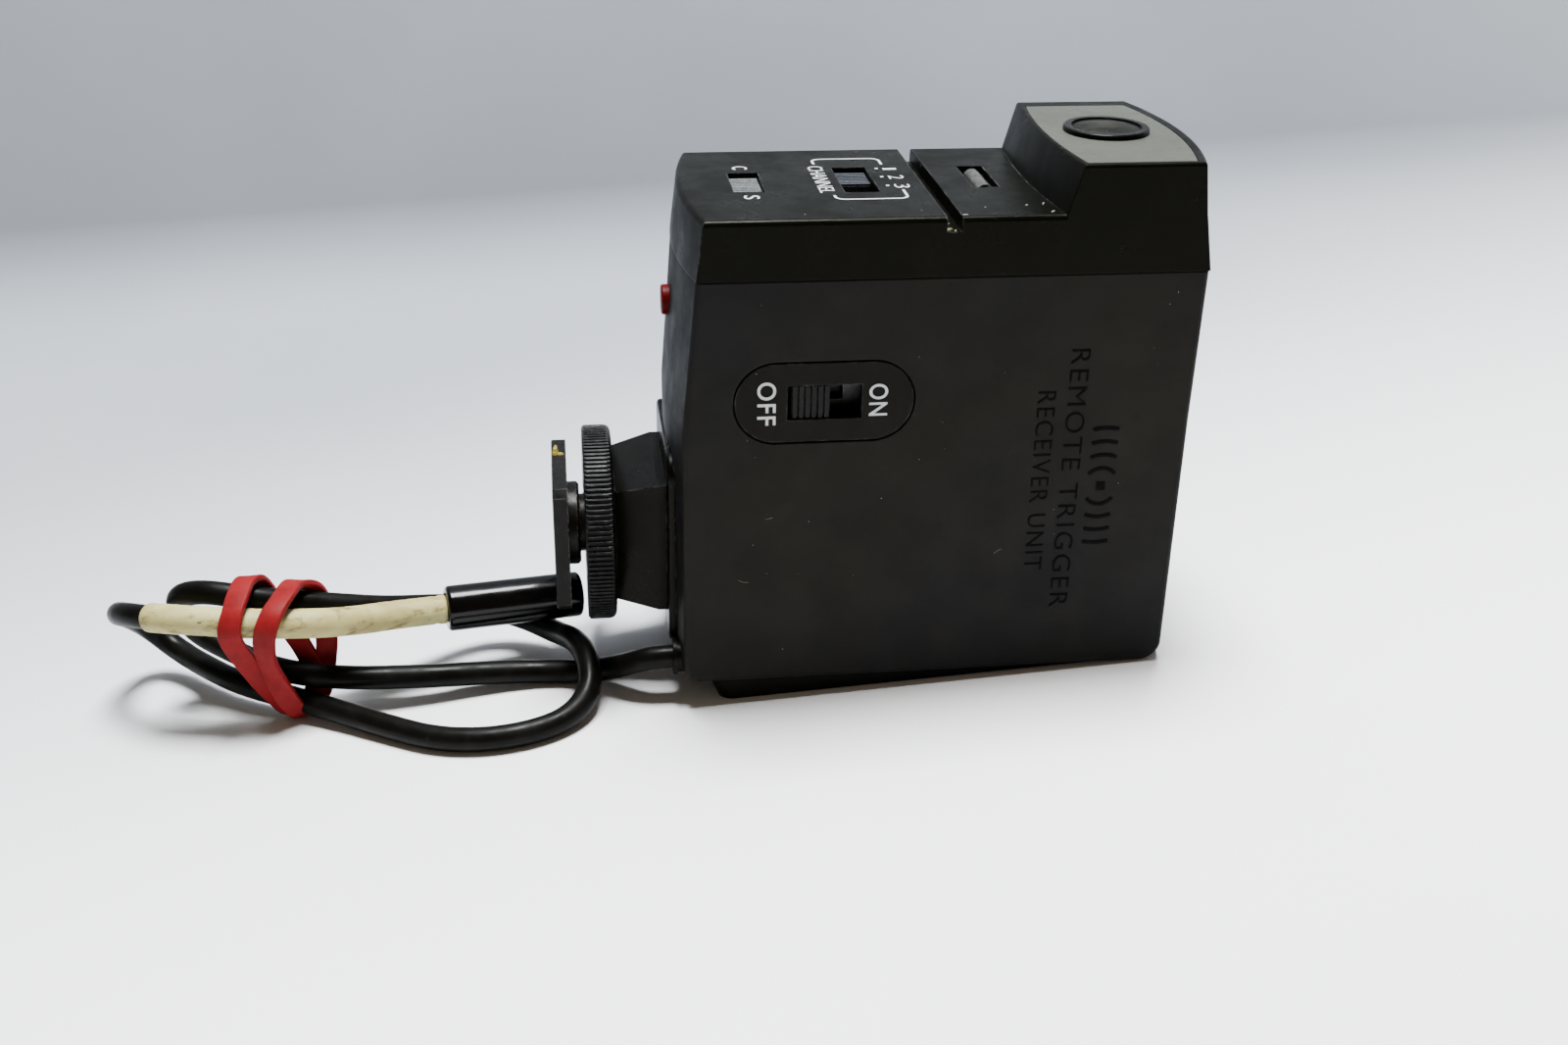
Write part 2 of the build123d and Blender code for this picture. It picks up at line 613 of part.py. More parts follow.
def battery_door():
    """Wedge plate whose sloping underside lies flat on the floor when the part leans."""
    x0, x1, y0, y1 = DOOR
    slope = math.tan(math.radians(LEAN))
    toe = x0 + DOOR_SLANT
    low_left = -(DOOR_TOE - toe) * slope
    low_right = -(DOOR_TOE - x1) * slope
    corners = [(x0, -DOOR_GAP), (toe, low_left), (x1, low_right), (x1, -DOOR_GAP)]
    profile = make_face(Polyline(*corners, close=True))
    plate = Pos(0, y1, 0) * Rot(90, 0, 0) * extrude(profile, y1 - y0)
    uprights = [e for e in plate.edges() if e.center().X < toe and abs(e.tangent_at(0.5).Z) > 0.5]
    plate = fillet(uprights, 2.0)
    bay_front, bay_back = BAY[2], BAY[3]
    for place in HOOK_PLACES:
        for edge, way in ((bay_front, 1), (bay_back, -1)):
            inner = edge + way * (BAY_LEDGE + 0.9)
            near = edge + way * (BAY_LEDGE + 0.15)
            tip = edge + way * 0.25
            lo, hi = min(inner, near), max(inner, near)
            plate += box(place, place + HOOK_LENGTH, lo, hi, -0.5, WALL + 0.9)
            lo, hi = min(inner, tip), max(inner, tip)
            plate += box(place, place + HOOK_LENGTH, lo, hi, WALL + 0.1, WALL + 0.9)
    return plate


def mount_flange(outside):
    y0, y1, z0, z1 = FLANGE
    plate = box(FLANGE_FACE, 0, y0, y1, z0, z1)
    plate = fillet(plate.edges().filter_by(Axis.X), FLANGE_ROUND)
    plate = fillet(plate.edges().group_by(Axis.X)[0], 0.5)
    plate -= outside
    for y, z in flange_screw_places():
        plate -= rod_x(1.15, -6, 2, y, z)
    return plate


def square(half, x):
    y, z = FOOT_AT
    turns = ((-half, -half), (half, -half), (half, half), (-half, half))
    points = [(x, y + across, z + up) for across, up in turns]
    return make_face(Polyline(*points, close=True))


def foot_pedestal():
    base_end = FLANGE_FACE - PEDESTAL_SKIRT
    y, z = FOOT_AT
    block = loft([square(PEDESTAL_BASE, base_end), square(PEDESTAL_TOP, PEDESTAL_END)], ruled=True)
    half = PEDESTAL_BASE
    block += box(base_end, FLANGE_FACE, y - half, y + half, z - half, z + half)
    block -= rod_x(POST_DIAMETER / 2 + THREAD_CLEARANCE, -20, FLANGE_FACE - 2.4, y, z)
    block -= rod_x(3.2, FLANGE_FACE - 3.5, FLANGE_FACE + 1, y, z)
    for place in flange_screw_places():
        block -= rod_x(0.95, -9.0, -1, *place)
    return block


def foot_post():
    """Fixed stud with a collar that passes between the rails of a camera's shoe."""
    y, z = FOOT_AT
    plate_back = FOOT_FACE + FOOT_THICKNESS
    collar = rod_x(COLLAR_DIAMETER / 2, plate_back, COLLAR_END, y, z)
    collar = chamfer(collar.edges().group_by(Axis.X)[-1], 0.35)
    post = collar + rod_x(POST_DIAMETER / 2, COLLAR_END - 0.1, FLANGE_FACE - 2.5, y, z)
    post -= rod_x(1.55, -30, 0, y, z)
    return post


def ring_bush():
    """Threaded brass insert of the lock ring, drawn at its pitch diameter."""
    y, z = FOOT_AT
    bush = rod_x(RING_BUSH_DIAMETER / 2, RING_FAR + 0.05, RING_NEAR - 0.05, y, z)
    return bush - rod_x(POST_DIAMETER / 2 + THREAD_CLEARANCE, -20, 0, y, z)


def lock_ring():
    y, z = FOOT_AT
    radius = RING_DIAMETER / 2
    ring = rod_x(radius, RING_FAR, RING_NEAR, y, z)
    ring = chamfer(ring.edges().group_by(Axis.X)[0], 0.35)
    ring = fillet(ring.edges().group_by(Axis.X)[-1], 1.0)
    notch = rod_x(RING_NOTCH, RING_FAR - 1, RING_NEAR + 1, y, z + radius)
    axis = Axis((0, y, z), (1, 0, 0))
    notches = [notch.rotate(axis, 360.0 * i / RING_TEETH) for i in range(RING_TEETH)]
    ring -= Compound(notches)
    return ring - rod_x(RING_BUSH_DIAMETER / 2 + THREAD_CLEARANCE, -20, 0, y, z)


def foot_plate():
    y, z = FOOT_AT
    half_y, half_z = FOOT_WIDTH / 2, FOOT_HEIGHT / 2
    plate = box(FOOT_FACE, FOOT_FACE + FOOT_THICKNESS, y - half_y, y + half_y, z - half_z, z + half_z)
    plate = chamfer(plate.edges().filter_by(Axis.X), 1.0)
    plate = fillet(plate.edges().group_by(Axis.X)[0], 0.25)
    plate -= rod_x(1.7, -30, 0, y, z)
    return plate - rod_x(3.0, -30, FOOT_FACE + 1.1, y, z)


def foot_screw():
    y, z = FOOT_AT
    body = rod_x(2.8, FOOT_FACE + 0.1, FOOT_FACE + 1.1, y, z)
    body += rod_x(1.5, FOOT_FACE + 1.0, FLANGE_FACE - 0.6, y, z)
    body -= box(FOOT_FACE - 1, FOOT_FACE + 0.6, y - 0.3, y + 0.3, z - 1.6, z + 1.6)
    return body - box(FOOT_FACE - 1, FOOT_FACE + 0.6, y - 1.6, y + 1.6, z - 0.3, z + 0.3)


def foot_nut():
    y, z = FOOT_AT
    nut = Pos(FLANGE_FACE - 1.2, y, z) * Rot(0, 90, 0) * extrude(RegularPolygon(3.0, 6), 1.0, both=True)
    return nut - rod_x(1.55, -10, 0, y, z)


def cord_grommet():
    y, z = CORD_EXIT
    radius = GROMMET_DIAMETER / 2
    body = rod_x(radius - 0.05, GROMMET_FACE + 0.4, 0.2, y, z)
    return body + rod_x(radius + 0.3, GROMMET_FACE, GROMMET_FACE + 0.5, y, z)


def corner_radii(route):
    """Bend radius at each inner point: 0.45 of its shorter run over tan of half its turn."""
    radii = []
    for before, here, after in zip(route, route[1:], route[2:]):
        arriving = Vector(*here) - Vector(*before)
        leaving = Vector(*after) - Vector(*here)
        half_turn = math.radians(arriving.get_angle(leaving)) / 2
        radii.append(0.45 * min(arriving.length, leaving.length) / math.tan(half_turn))
    return radii


def tube(route, radii, radius):
    path = FilletPolyline(*route, radius=radii)
    section = Plane(origin=path @ 0, z_dir=path % 0) * Circle(radius)
    return sweep(section, path=path)


def sleeve_route():
    """The sleeve starts halfway along a run of the cord and shares the rest of its route."""
    first, second = CORD_ROUTE[SLEEVE_JOINS_ROUTE - 1:SLEEVE_JOINS_ROUTE + 1]
    start = tuple((a + b) / 2 for a, b in zip(first, second))
    return [start] + CORD_ROUTE[SLEEVE_JOINS_ROUTE:]


def along_plug(distance):
    start = Vector(*CORD_ROUTE[-1])
    direction = (Vector(*PLUG_END) - start).normalized()
    return Plane(origin=start + direction * distance, z_dir=direction)


def plug_barrel(length):
    radius = PLUG_DIAMETER / 2
    barrel = extrude(along_plug(0.02) * Circle(radius), length - 0.02)
    rims = barrel.edges().filter_by(GeomType.CIRCLE)
    barrel = fillet(rims, 0.6)
    return barrel - extrude(along_plug(length - PLUG_RECESS) * Circle(radius - 0.8), PLUG_RECESS + 1)


def plug_contacts(length):
    face = along_plug(length - PLUG_RECESS)
    turns = [math.radians(90 + 120 * i) for i in range(3)]
    pins = [Pos(math.cos(t) * 1.25, math.sin(t) * 1.25, 0) * Circle(0.4) for t in turns]
    return Compound([extrude(face * pin, PLUG_RECESS - 0.6) for pin in pins])


def band_wrap(tilt, strands):
    """A stretched ribbon round the strands, in a plane tipped by tilt from the upright."""
    c, s = math.cos(math.radians(tilt)), math.sin(math.radians(tilt))
    plane = Plane(origin=(BAND_X, 0, 0), x_dir=(0, 1, 0), z_dir=(c, 0, s))
    hulls = []
    for grow in (BAND_THICKNESS, 0):
        discs = [Pos(y, z / c) * Circle(radius + grow) for y, z, radius in strands]
        edges = [edge for disc in discs for edge in disc.edges()]
        hulls.append(make_hull(edges))
    ribbon = plane * (hulls[0] - hulls[1])
    return extrude(ribbon, BAND_WIDTH / 2, both=True)


def rubber_band(cord, sleeve):
    band = Part()
    for tilt, strands in BAND_WRAPS:
        band += band_wrap(tilt, strands)
    band -= cord
    band -= sleeve
    return band & box(-120, 0, -40, 40, FLOOR_GAP, 60)


def cord_pieces():
    """The cord and what is on it, drawn straight in the delivered frame."""
    radii = corner_radii(CORD_ROUTE)
    print("cord radii", [round(r, 1) for r in radii])
    cord = tube(CORD_ROUTE, radii, CORD_DIAMETER / 2)
    sleeved = sleeve_route()
    sleeve_radii = radii[SLEEVE_JOINS_ROUTE - 1:]
    solid_sleeve = tube(sleeved, sleeve_radii, SLEEVE_DIAMETER / 2)
    plug_length = (Vector(*PLUG_END) - Vector(*CORD_ROUTE[-1])).length
    return {
        "cord": cord,
        "cord_sleeve": solid_sleeve - tube(sleeved, sleeve_radii, CORD_DIAMETER / 2),
        "plug_barrel": plug_barrel(plug_length),
        "plug_contacts": plug_contacts(plug_length),
        "rubber_band": rubber_band(cord, solid_sleeve),
    }


def build():
    outside = rounded_case()
    board, diode, can = sensor_stack()
    lens, led = lamp_pieces()
    pieces = {
        "main_case": main_case(outside),
        "top_cover": top_cover(),
        "head_face_plate": head_face_plate(),
        "lens_ring": lens_ring(),
        "sensor_lens": sensor_lens(),
        "sensor_board": board,
        "photodiode": diode,
        "sensor_shield": can,
        "lamp_lens": lens,
        "signal_led": led,
        "mode_knob": deck_knob(MODE_WINDOW, MODE_KNOB_LENGTH, 9),
        "mode_switch": deck_switch(MODE_WINDOW, MODE_KNOB_LENGTH, MODE_TRAVEL),
        "channel_knob": deck_knob(CHANNEL_WINDOW, CHANNEL_KNOB_LENGTH, 8),
        "channel_switch": deck_switch(CHANNEL_WINDOW, CHANNEL_KNOB_LENGTH, CHANNEL_TRAVEL),
        "power_plate": power_plate(),
        "power_knob": power_knob(),
        "power_switch": power_switch_body(),
        "circuit_board": circuit_board(),
        "board_components": board_components(),
        "test_button": test_button(),
        "tact_switch": tact_switch(),
        "button_spring": button_spring(),
        "battery_magazine": battery_magazine(),
        "battery_springs": battery_springs(),
        "battery_contacts": battery_contacts(),
        "cover_screws": screws_at(
            [(COVER_SCREW_X, y, COLUMN_TOP - 2) for y in COVER_SCREW_YS], Rot(0, 0, 0), 1.9, 1.6, 0.8, 10
        ),
        "board_screws": screws_at(
            [(x, y, BOARD_BOTTOM) for x, y in BOARD_SCREWS], Rot(0, 0, 0), 1.9, 1.2, 0.8, 6
        ),
        "flange_screws": screws_at(
            [(-0.9, y, z) for y, z in flange_screw_places()], Rot(0, -90, 0), 1.8, 1.3, 0.85, 8
        ),
        "power_switch_screws": screws_at(
            [(x, 4.9, POWER_AT[1]) for x in POWER_SCREW_XS], Rot(90, 0, 0), 1.6, 0.9, 0.75, 2.8
        ),
        "battery_door": battery_door(),
        "mount_flange": mount_flange(outside),
        "foot_pedestal": foot_pedestal(),
        "foot_post": foot_post(),
        "ring_bush": ring_bush(),
        "lock_ring": lock_ring(),
        "foot_plate": foot_plate(),
        "foot_screw": foot_screw(),
        "foot_nut": foot_nut(),
        "cord_grommet": cord_grommet(),
    }
    for i in range(4):
        pieces[f"battery_cell_{i + 1}"] = battery_cell(i)
    return {node: stand_up(shape) for node, shape in pieces.items()} | cord_pieces()


os.makedirs("parts", exist_ok=True)
for node, shape in build().items():
    export_step(shape, f"parts/{node}.step")
    print(node, round(shape.volume, 1))
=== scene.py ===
"""Looks for the wireless remote receiver: materials, lettering, cord, band and studio."""

import json
import math
import random

import bpy
from mathutils import Matrix, Vector, noise


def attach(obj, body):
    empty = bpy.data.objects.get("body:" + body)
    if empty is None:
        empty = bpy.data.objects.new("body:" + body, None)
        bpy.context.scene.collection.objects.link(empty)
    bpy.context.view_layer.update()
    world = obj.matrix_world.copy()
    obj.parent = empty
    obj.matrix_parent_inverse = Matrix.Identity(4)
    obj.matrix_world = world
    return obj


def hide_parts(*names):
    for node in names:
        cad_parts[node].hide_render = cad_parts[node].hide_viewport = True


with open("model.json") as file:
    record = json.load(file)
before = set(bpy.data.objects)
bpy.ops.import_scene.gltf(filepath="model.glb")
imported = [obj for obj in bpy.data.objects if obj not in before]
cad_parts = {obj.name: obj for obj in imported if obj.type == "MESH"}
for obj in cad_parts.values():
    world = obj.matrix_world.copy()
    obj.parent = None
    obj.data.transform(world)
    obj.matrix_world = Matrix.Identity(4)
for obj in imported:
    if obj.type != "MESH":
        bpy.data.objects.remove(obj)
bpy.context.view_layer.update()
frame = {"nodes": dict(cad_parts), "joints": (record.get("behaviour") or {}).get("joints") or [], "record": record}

MM = 0.001
NODES = frame["nodes"]
JOINTS = {joint["name"]: joint for joint in frame["joints"]}
MOUNTS = {mount["name"]: mount for mount in frame["record"]["mounts"]}

# The case leans, so its own axes come from a slide that runs along it, and its origin,
# the front bottom corner at the foot end, from the face of the shoe foot.
X_CASE = Vector(JOINTS["power_slide"]["axis"]).normalized()
Y_CASE = Vector((0, 1, 0))
Z_CASE = X_CASE.cross(Y_CASE)
CASE_TURN = Matrix((X_CASE, Y_CASE, Z_CASE)).transposed()
SHOE_FACE_IN_CASE = Vector((-18.66, 17.2, 10.65)) * MM
ORIGIN = Vector(MOUNTS["shoe_face"]["pos_m"]) - CASE_TURN @ SHOE_FACE_IN_CASE

# sizes of the case in its own frame, in millimetres
DECK_HEIGHT = 64.1
HEAD_HEIGHT = 70.3
SENSOR_AT = (54.8, 16.8)


def at(x, y, z):
    """A point of the case's own frame, given in millimetres, in the row frame in metres."""
    return ORIGIN + CASE_TURN @ (Vector((x, y, z)) * MM)


WARM_GLOSS = (1.0, 0.97, 0.84, 1)
# the cover's edges are lightened, by wear and as a painted highlight, only on the deck, above this height and
# short of the head
HIGHLIT_AND_RUBBED_ABOVE = 62.0 * MM
HIGHLIT_AND_RUBBED_LEFT_OF = at(44.6, 0, DECK_HEIGHT).x

# ------------------------------------------------------------------ shader helpers


class Shader:
    """A node material with one Principled shader and short names for what it is fed by."""

    def __init__(self, name, color, roughness, **sockets):
        self.material = bpy.data.materials.new(name)
        self.material.use_nodes = True
        self.tree = self.material.node_tree
        self.shader = self.tree.nodes["Principled BSDF"]
        self.shader.inputs["Base Color"].default_value = (*color, 1)
        self.shader.inputs["Roughness"].default_value = roughness
        for socket, value in sockets.items():
            self.shader.inputs[socket.replace("_", " ")].default_value = value
        self.place = self.add("ShaderNodeTexCoord").outputs["Object"]

    def add(self, kind, **settings):
        node = self.tree.nodes.new(kind)
        for key, value in settings.items():
            setattr(node, key, value)
        return node

    def link(self, source, target):
        self.tree.links.new(source, target)

    def noise(self, per_mm, detail=3.0, rough=0.55, stretch=(1, 1, 1), distort=0.0):
        """Noise with this many features per millimetre."""
        mapping = self.add("ShaderNodeMapping")
        mapping.inputs["Scale"].default_value = [s * per_mm / MM for s in stretch]
        self.link(self.place, mapping.inputs["Vector"])
        node = self.add("ShaderNodeTexNoise")
        node.inputs["Scale"].default_value = 1.0
        node.inputs["Detail"].default_value = detail
        node.inputs["Roughness"].default_value = rough
        node.inputs["Distortion"].default_value = distort
        self.link(mapping.outputs["Vector"], node.inputs["Vector"])
        return node.outputs["Fac"]

    def ramp(self, factor, low, high, low_value=0.0, high_value=1.0):
        node = self.add("ShaderNodeMapRange", clamp=True, interpolation_type="SMOOTHSTEP")
        ends = {"From Min": low, "From Max": high, "To Min": low_value, "To Max": high_value}
        for socket, value in ends.items():
            node.inputs[socket].default_value = value
        self.link(factor, node.inputs["Value"])
        return node.outputs["Result"]

    def math(self, operation, first, second):
        node = self.add("ShaderNodeMath", operation=operation)
        for socket, value in zip(node.inputs, (first, second)):
            if isinstance(value, (int, float)):
                socket.default_value = value
            else:
                self.link(value, socket)
        return node.outputs["Value"]

    def tint(self, factor, color):
        """Mix the base colour so far with another one, by a factor."""
        base = self.shader.inputs["Base Color"]
        node = self.add("ShaderNodeMix", data_type="RGBA")
        self.link(factor, node.inputs["Factor"])
        if base.is_linked:
            self.link(base.links[0].from_socket, node.inputs["A"])
        else:
            node.inputs["A"].default_value = base.default_value
        node.inputs["B"].default_value = (*color, 1)
        self.link(node.outputs["Result"], base)

    def roughen(self, factor, low, high):
        self.link(self.ramp(factor, 0.3, 0.7, low, high), self.shader.inputs["Roughness"])

    def bump(self, height, distance_mm, strength=1.0):
        """Add a height field to the bumps so far; the first one starts from soft edges."""
        normal = self.shader.inputs["Normal"]
        node = self.add("ShaderNodeBump")
        node.inputs["Distance"].default_value = distance_mm * MM
        node.inputs["Strength"].default_value = strength
        self.link(height, node.inputs["Height"])
        if normal.is_linked:
            self.link(normal.links[0].from_socket, node.inputs["Normal"])
        self.link(node.outputs["Normal"], normal)

    def soft_edges(self, radius_mm):
        node = self.add("ShaderNodeBevel", samples=6)
        node.inputs["Radius"].default_value = radius_mm * MM
        self.link(node.outputs["Normal"], self.shader.inputs["Normal"])

    def edge_factor(self, radius_mm, sharpness=0.06):
        """1 near sharp edges, 0 on flats: how far the softened normal is from the true one."""
        bevel = self.add("ShaderNodeBevel", samples=6)
        bevel.inputs["Radius"].default_value = radius_mm * MM
        geometry = self.add("ShaderNodeNewGeometry")
        dot = self.add("ShaderNodeVectorMath", operation="DOT_PRODUCT")
        self.link(bevel.outputs["Normal"], dot.inputs[0])
        self.link(geometry.outputs["Normal"], dot.inputs[1])
        return self.ramp(self.math("SUBTRACT", 1.0, dot.outputs["Value"]), 0.0, sharpness)

    def dust(self, spacing_mm, share, size=0.12):
        """Small round specks scattered over the surface, in a share of the cells."""
        mapping = self.add("ShaderNodeMapping")
        mapping.inputs["Scale"].default_value = [1 / (spacing_mm * MM)] * 3
        self.link(self.place, mapping.inputs["Vector"])
        cells = self.add("ShaderNodeTexVoronoi")
        cells.inputs["Scale"].default_value = 1.0
        self.link(mapping.outputs["Vector"], cells.inputs["Vector"])
        split = self.add("ShaderNodeSeparateColor")
        self.link(cells.outputs["Color"], split.inputs["Color"])
        chosen = self.math("LESS_THAN", split.outputs["Red"], share)
        grain = self.ramp(split.outputs["Green"], 0.0, 1.0, size * 0.35, size)
        speck = self.math("LESS_THAN", cells.outputs["Distance"], grain)
        return self.math("MULTIPLY", chosen, speck)


def moulded_black(name, color, roughness, gloss, wear_and_highlight=0.35, specks=0.010, grain=0.012, highlit_and_worn_place=None):
    """Black ABS: fine grain, faint handling marks, dust, and edges lightened as wear and as a painted highlight,
    everywhere or in one place.
    """
    s = Shader(name, color, roughness, Specular_IOR_Level=gloss, Specular_Tint=WARM_GLOSS)
    s.soft_edges(0.22)
    bluer = (color[0] * 0.9, color[1] * 0.92, color[2] * 1.35)
    s.tint(s.ramp(s.noise(0.035, 3), 0.40, 0.62, 0.0, 0.8), bluer)
    s.tint(s.ramp(s.noise(0.11, 5, 0.6), 0.45, 0.75, 0.0, 0.5), [c * 1.5 for c in color])
    s.roughen(s.noise(0.16, 5, 0.6), roughness - 0.07, roughness + 0.08)
    # edges tinted lighter: partly wear, partly a painted highlight where edges catch the light
    rubbed_and_highlit = s.math("MULTIPLY", s.edge_factor(0.30), s.ramp(s.noise(0.9, 4), 0.42, 0.72))
    if highlit_and_worn_place:
        above, left_of = highlit_and_worn_place
        split = s.add("ShaderNodeSeparateXYZ")
        s.link(s.place, split.inputs["Vector"])
        high = s.ramp(split.outputs["Z"], above - 0.6 * MM, above + 0.6 * MM)
        near = s.ramp(split.outputs["X"], left_of + 0.8 * MM, left_of)
        rubbed_and_highlit = s.math("MULTIPLY", rubbed_and_highlit, s.math("MULTIPLY", high, near))
    s.tint(s.math("MULTIPLY", rubbed_and_highlit, wear_and_highlight), (0.10, 0.10, 0.095))
    s.tint(s.math("MULTIPLY", s.dust(2.6, specks), 0.75), (0.22, 0.21, 0.18))
    s.bump(s.noise(5.0, 2), grain)
    return s


def lettering_painted_shade():
    """Lettering moulded in the case's own plastic, coloured far darker than the case as painted shade, the shade
    that engraved letters hold.
    """
    s = Shader("moulded_lettering", (0.0006, 0.0006, 0.0006), 0.34, Specular_IOR_Level=0.02)
    s.tint(s.ramp(s.noise(0.6, 3), 0.5, 0.8, 0.0, 0.6), (0.005, 0.005, 0.005))
    s.tint(s.math("MULTIPLY", s.dust(1.3, 0.03), 0.6), (0.2, 0.19, 0.17))
    s.bump(s.noise(4.0, 2), 0.01)
    return s


def grey_plate():
    s = Shader("grey_plate", (0.045, 0.048, 0.040), 0.50, Specular_IOR_Level=0.12)
    s.soft_edges(0.12)
    s.tint(s.ramp(s.noise(0.07, 4), 0.35, 0.7), (0.036, 0.038, 0.032))
    s.tint(s.ramp(s.noise(7.0, 2), 0.5, 0.75, 0.0, 0.35), (0.062, 0.064, 0.056))
    s.tint(s.math("MULTIPLY", s.dust(2.2, 0.03), 0.8), (0.02, 0.02, 0.018))
    s.roughen(s.noise(0.4, 4), 0.42, 0.6)
    s.bump(s.noise(7.0, 2), 0.012)
    return s


def gloss_black(name, color, roughness, grain=0.004, smudge=0.10, gloss=0.3):
    s = Shader(name, color, roughness, Specular_IOR_Level=gloss)
    s.soft_edges(0.15)
    s.roughen(s.noise(0.22, 5, 0.62), roughness, roughness + smudge)
    s.tint(s.ramp(s.noise(0.3, 4), 0.45, 0.8, 0.0, 0.5), [c * 1.9 for c in color])
    s.tint(s.math("MULTIPLY", s.dust(2.0, 0.02), 0.6), (0.18, 0.17, 0.15))
    s.bump(s.noise(2.5, 3), grain)
    return s


def filter_lens():
    """Dark filter glass with a painted brown highlight in its middle and faint rings towards its rim."""
    glass = (0.0040, 0.0042, 0.0034)
    s = Shader("filter_lens", glass, 0.22, Specular_IOR_Level=0.015, Specular_Tint=WARM_GLOSS)
    offset = s.add("ShaderNodeVectorMath", operation="DISTANCE")
    s.link(s.place, offset.inputs[0])
    offset.inputs[1].default_value = at(*SENSOR_AT, HEAD_HEIGHT + 0.4)
    away = offset.outputs["Value"]
    rings = s.math("SINE", s.math("MULTIPLY", away, 6.0 / MM), 0.0)
    s.tint(s.ramp(s.noise(0.30, 3, 0.5, (0.6, 2.0, 1)), 0.42, 0.62), (0.012, 0.012, 0.0095))
    # painted highlight: brown in the middle of the glass
    s.tint(s.ramp(away, 2.2 * MM, 0.2 * MM, 0.0, 0.8), (0.014, 0.0120, 0.0065))
    s.tint(s.ramp(rings, 0.2, 0.9, 0.0, 0.25), (0.014, 0.013, 0.010))
    s.tint(s.ramp(away, 3.9 * MM, 4.4 * MM), (0.0015, 0.0015, 0.0012))
    s.roughen(s.noise(0.35, 5), 0.16, 0.30)
    s.tint(s.math("MULTIPLY", s.dust(1.1, 0.05), 0.5), (0.07, 0.07, 0.06))
    s.bump(s.noise(0.5, 2), 0.01)
    return s


def lamp_lens():
    s = Shader("lamp_lens", (0.050, 0.052, 0.046), 0.22, Transmission_Weight=0.35, IOR=1.4)
    s.tint(s.ramp(s.noise(0.5, 3), 0.4, 0.75), (0.022, 0.023, 0.018))
    s.roughen(s.noise(0.5, 3), 0.15, 0.35)
    s.bump(s.noise(0.6, 2), 0.02)
    return s


KNOB_RIB = 0.62  # millimetres from one rib to the next


def knob(name, color, dirt, roughness=0.5):
    """A slide switch's cap: dull ribbed moulding, speckled, with dirt held between its ribs."""
    s = Shader(name, color, roughness, Specular_IOR_Level=0.08)
    s.soft_edges(0.08)
    split = s.add("ShaderNodeSeparateXYZ")
    s.link(s.place, split.inputs["Vector"])
    wander = s.math("MULTIPLY", s.noise(1.4, 3), 3.0)
    wave = s.math("MULTIPLY", split.outputs["Y"], 2 * math.pi / (KNOB_RIB * MM))
    wave = s.math("ADD", wave, wander)
    s.tint(s.ramp(s.math("SINE", wave, 0.0), -0.1, 0.8, 0.0, 0.75), dirt)
    s.tint(s.ramp(s.noise(2.6, 5, 0.75), 0.46, 0.60, 0.0, 0.6), dirt)
    s.tint(s.ramp(s.noise(5.0, 3, 0.7), 0.54, 0.64, 0.0, 0.8), [min(1.0, c * 2.6) for c in color])
    # edges lighter: partly wear, partly a painted highlight
    worn_and_highlit = s.math("MULTIPLY", s.edge_factor(0.12, 0.10), s.ramp(s.noise(2.0, 3), 0.35, 0.6))
    s.tint(s.math("MULTIPLY", worn_and_highlit, 0.55), [min(1.0, c * 1.8) for c in color])
    s.roughen(s.noise(2.2, 3), roughness - 0.12, roughness + 0.12)
    s.bump(s.noise(3.0, 3), 0.03)
    return s


def white_print():
    s = Shader("white_print", (0.42, 0.43, 0.44), 0.55)
    s.tint(s.ramp(s.noise(2.4, 4, 0.65), 0.52, 0.75), (0.22, 0.225, 0.23))
    s.bump(s.noise(5.0, 2), 0.006)
    return s


def red_button():
    s = Shader("red_button", (0.060, 0.0016, 0.0022), 0.42, Specular_IOR_Level=0.05)
    s.soft_edges(0.12)
    s.tint(s.ramp(s.noise(0.8, 4), 0.45, 0.75), (0.036, 0.0012, 0.0015))
    s.roughen(s.noise(1.2, 4), 0.3, 0.5)
    s.bump(s.noise(4.0, 2), 0.01)
    return s


def worn_highlit_metal(name, color, roughness, bare_and_highlight=(0.07, 0.066, 0.055)):
    """Black-painted metal, lighter along its edges: bare metal there, and a painted highlight where edges catch
    the light.
    """
    s = Shader(name, color, roughness, Specular_IOR_Level=0.08)
    s.soft_edges(0.14)
    s.tint(s.ramp(s.noise(0.25, 5), 0.4, 0.8, 0.0, 0.6), [c * 2.0 for c in color])
    worn_and_highlit = s.math("MULTIPLY", s.edge_factor(0.22, 0.08), s.ramp(s.noise(1.1, 4), 0.44, 0.62))
    # edge tint: wear down to bare metal, and also a painted highlight
    s.tint(s.math("MULTIPLY", worn_and_highlit, 0.7), bare_and_highlight)
    s.link(s.ramp(worn_and_highlit, 0.2, 0.9, 0.0, 0.7), s.shader.inputs["Metallic"])
    s.roughen(s.noise(0.8, 5), roughness - 0.08, roughness + 0.12)
    s.bump(s.noise(3.0, 3), 0.008)
    return s


def plated(name, color, roughness):
    s = Shader(name, color, roughness, Metallic=1.0)
    s.soft_edges(0.08)
    s.tint(s.ramp(s.noise(0.7, 4), 0.45, 0.8, 0.0, 0.7), [c * 0.6 for c in color])
    s.roughen(s.noise(1.5, 4), roughness - 0.1, roughness + 0.15)
    s.bump(s.noise(2.5, 3, 0.6, (1, 1, 0.2)), 0.006)
    return s


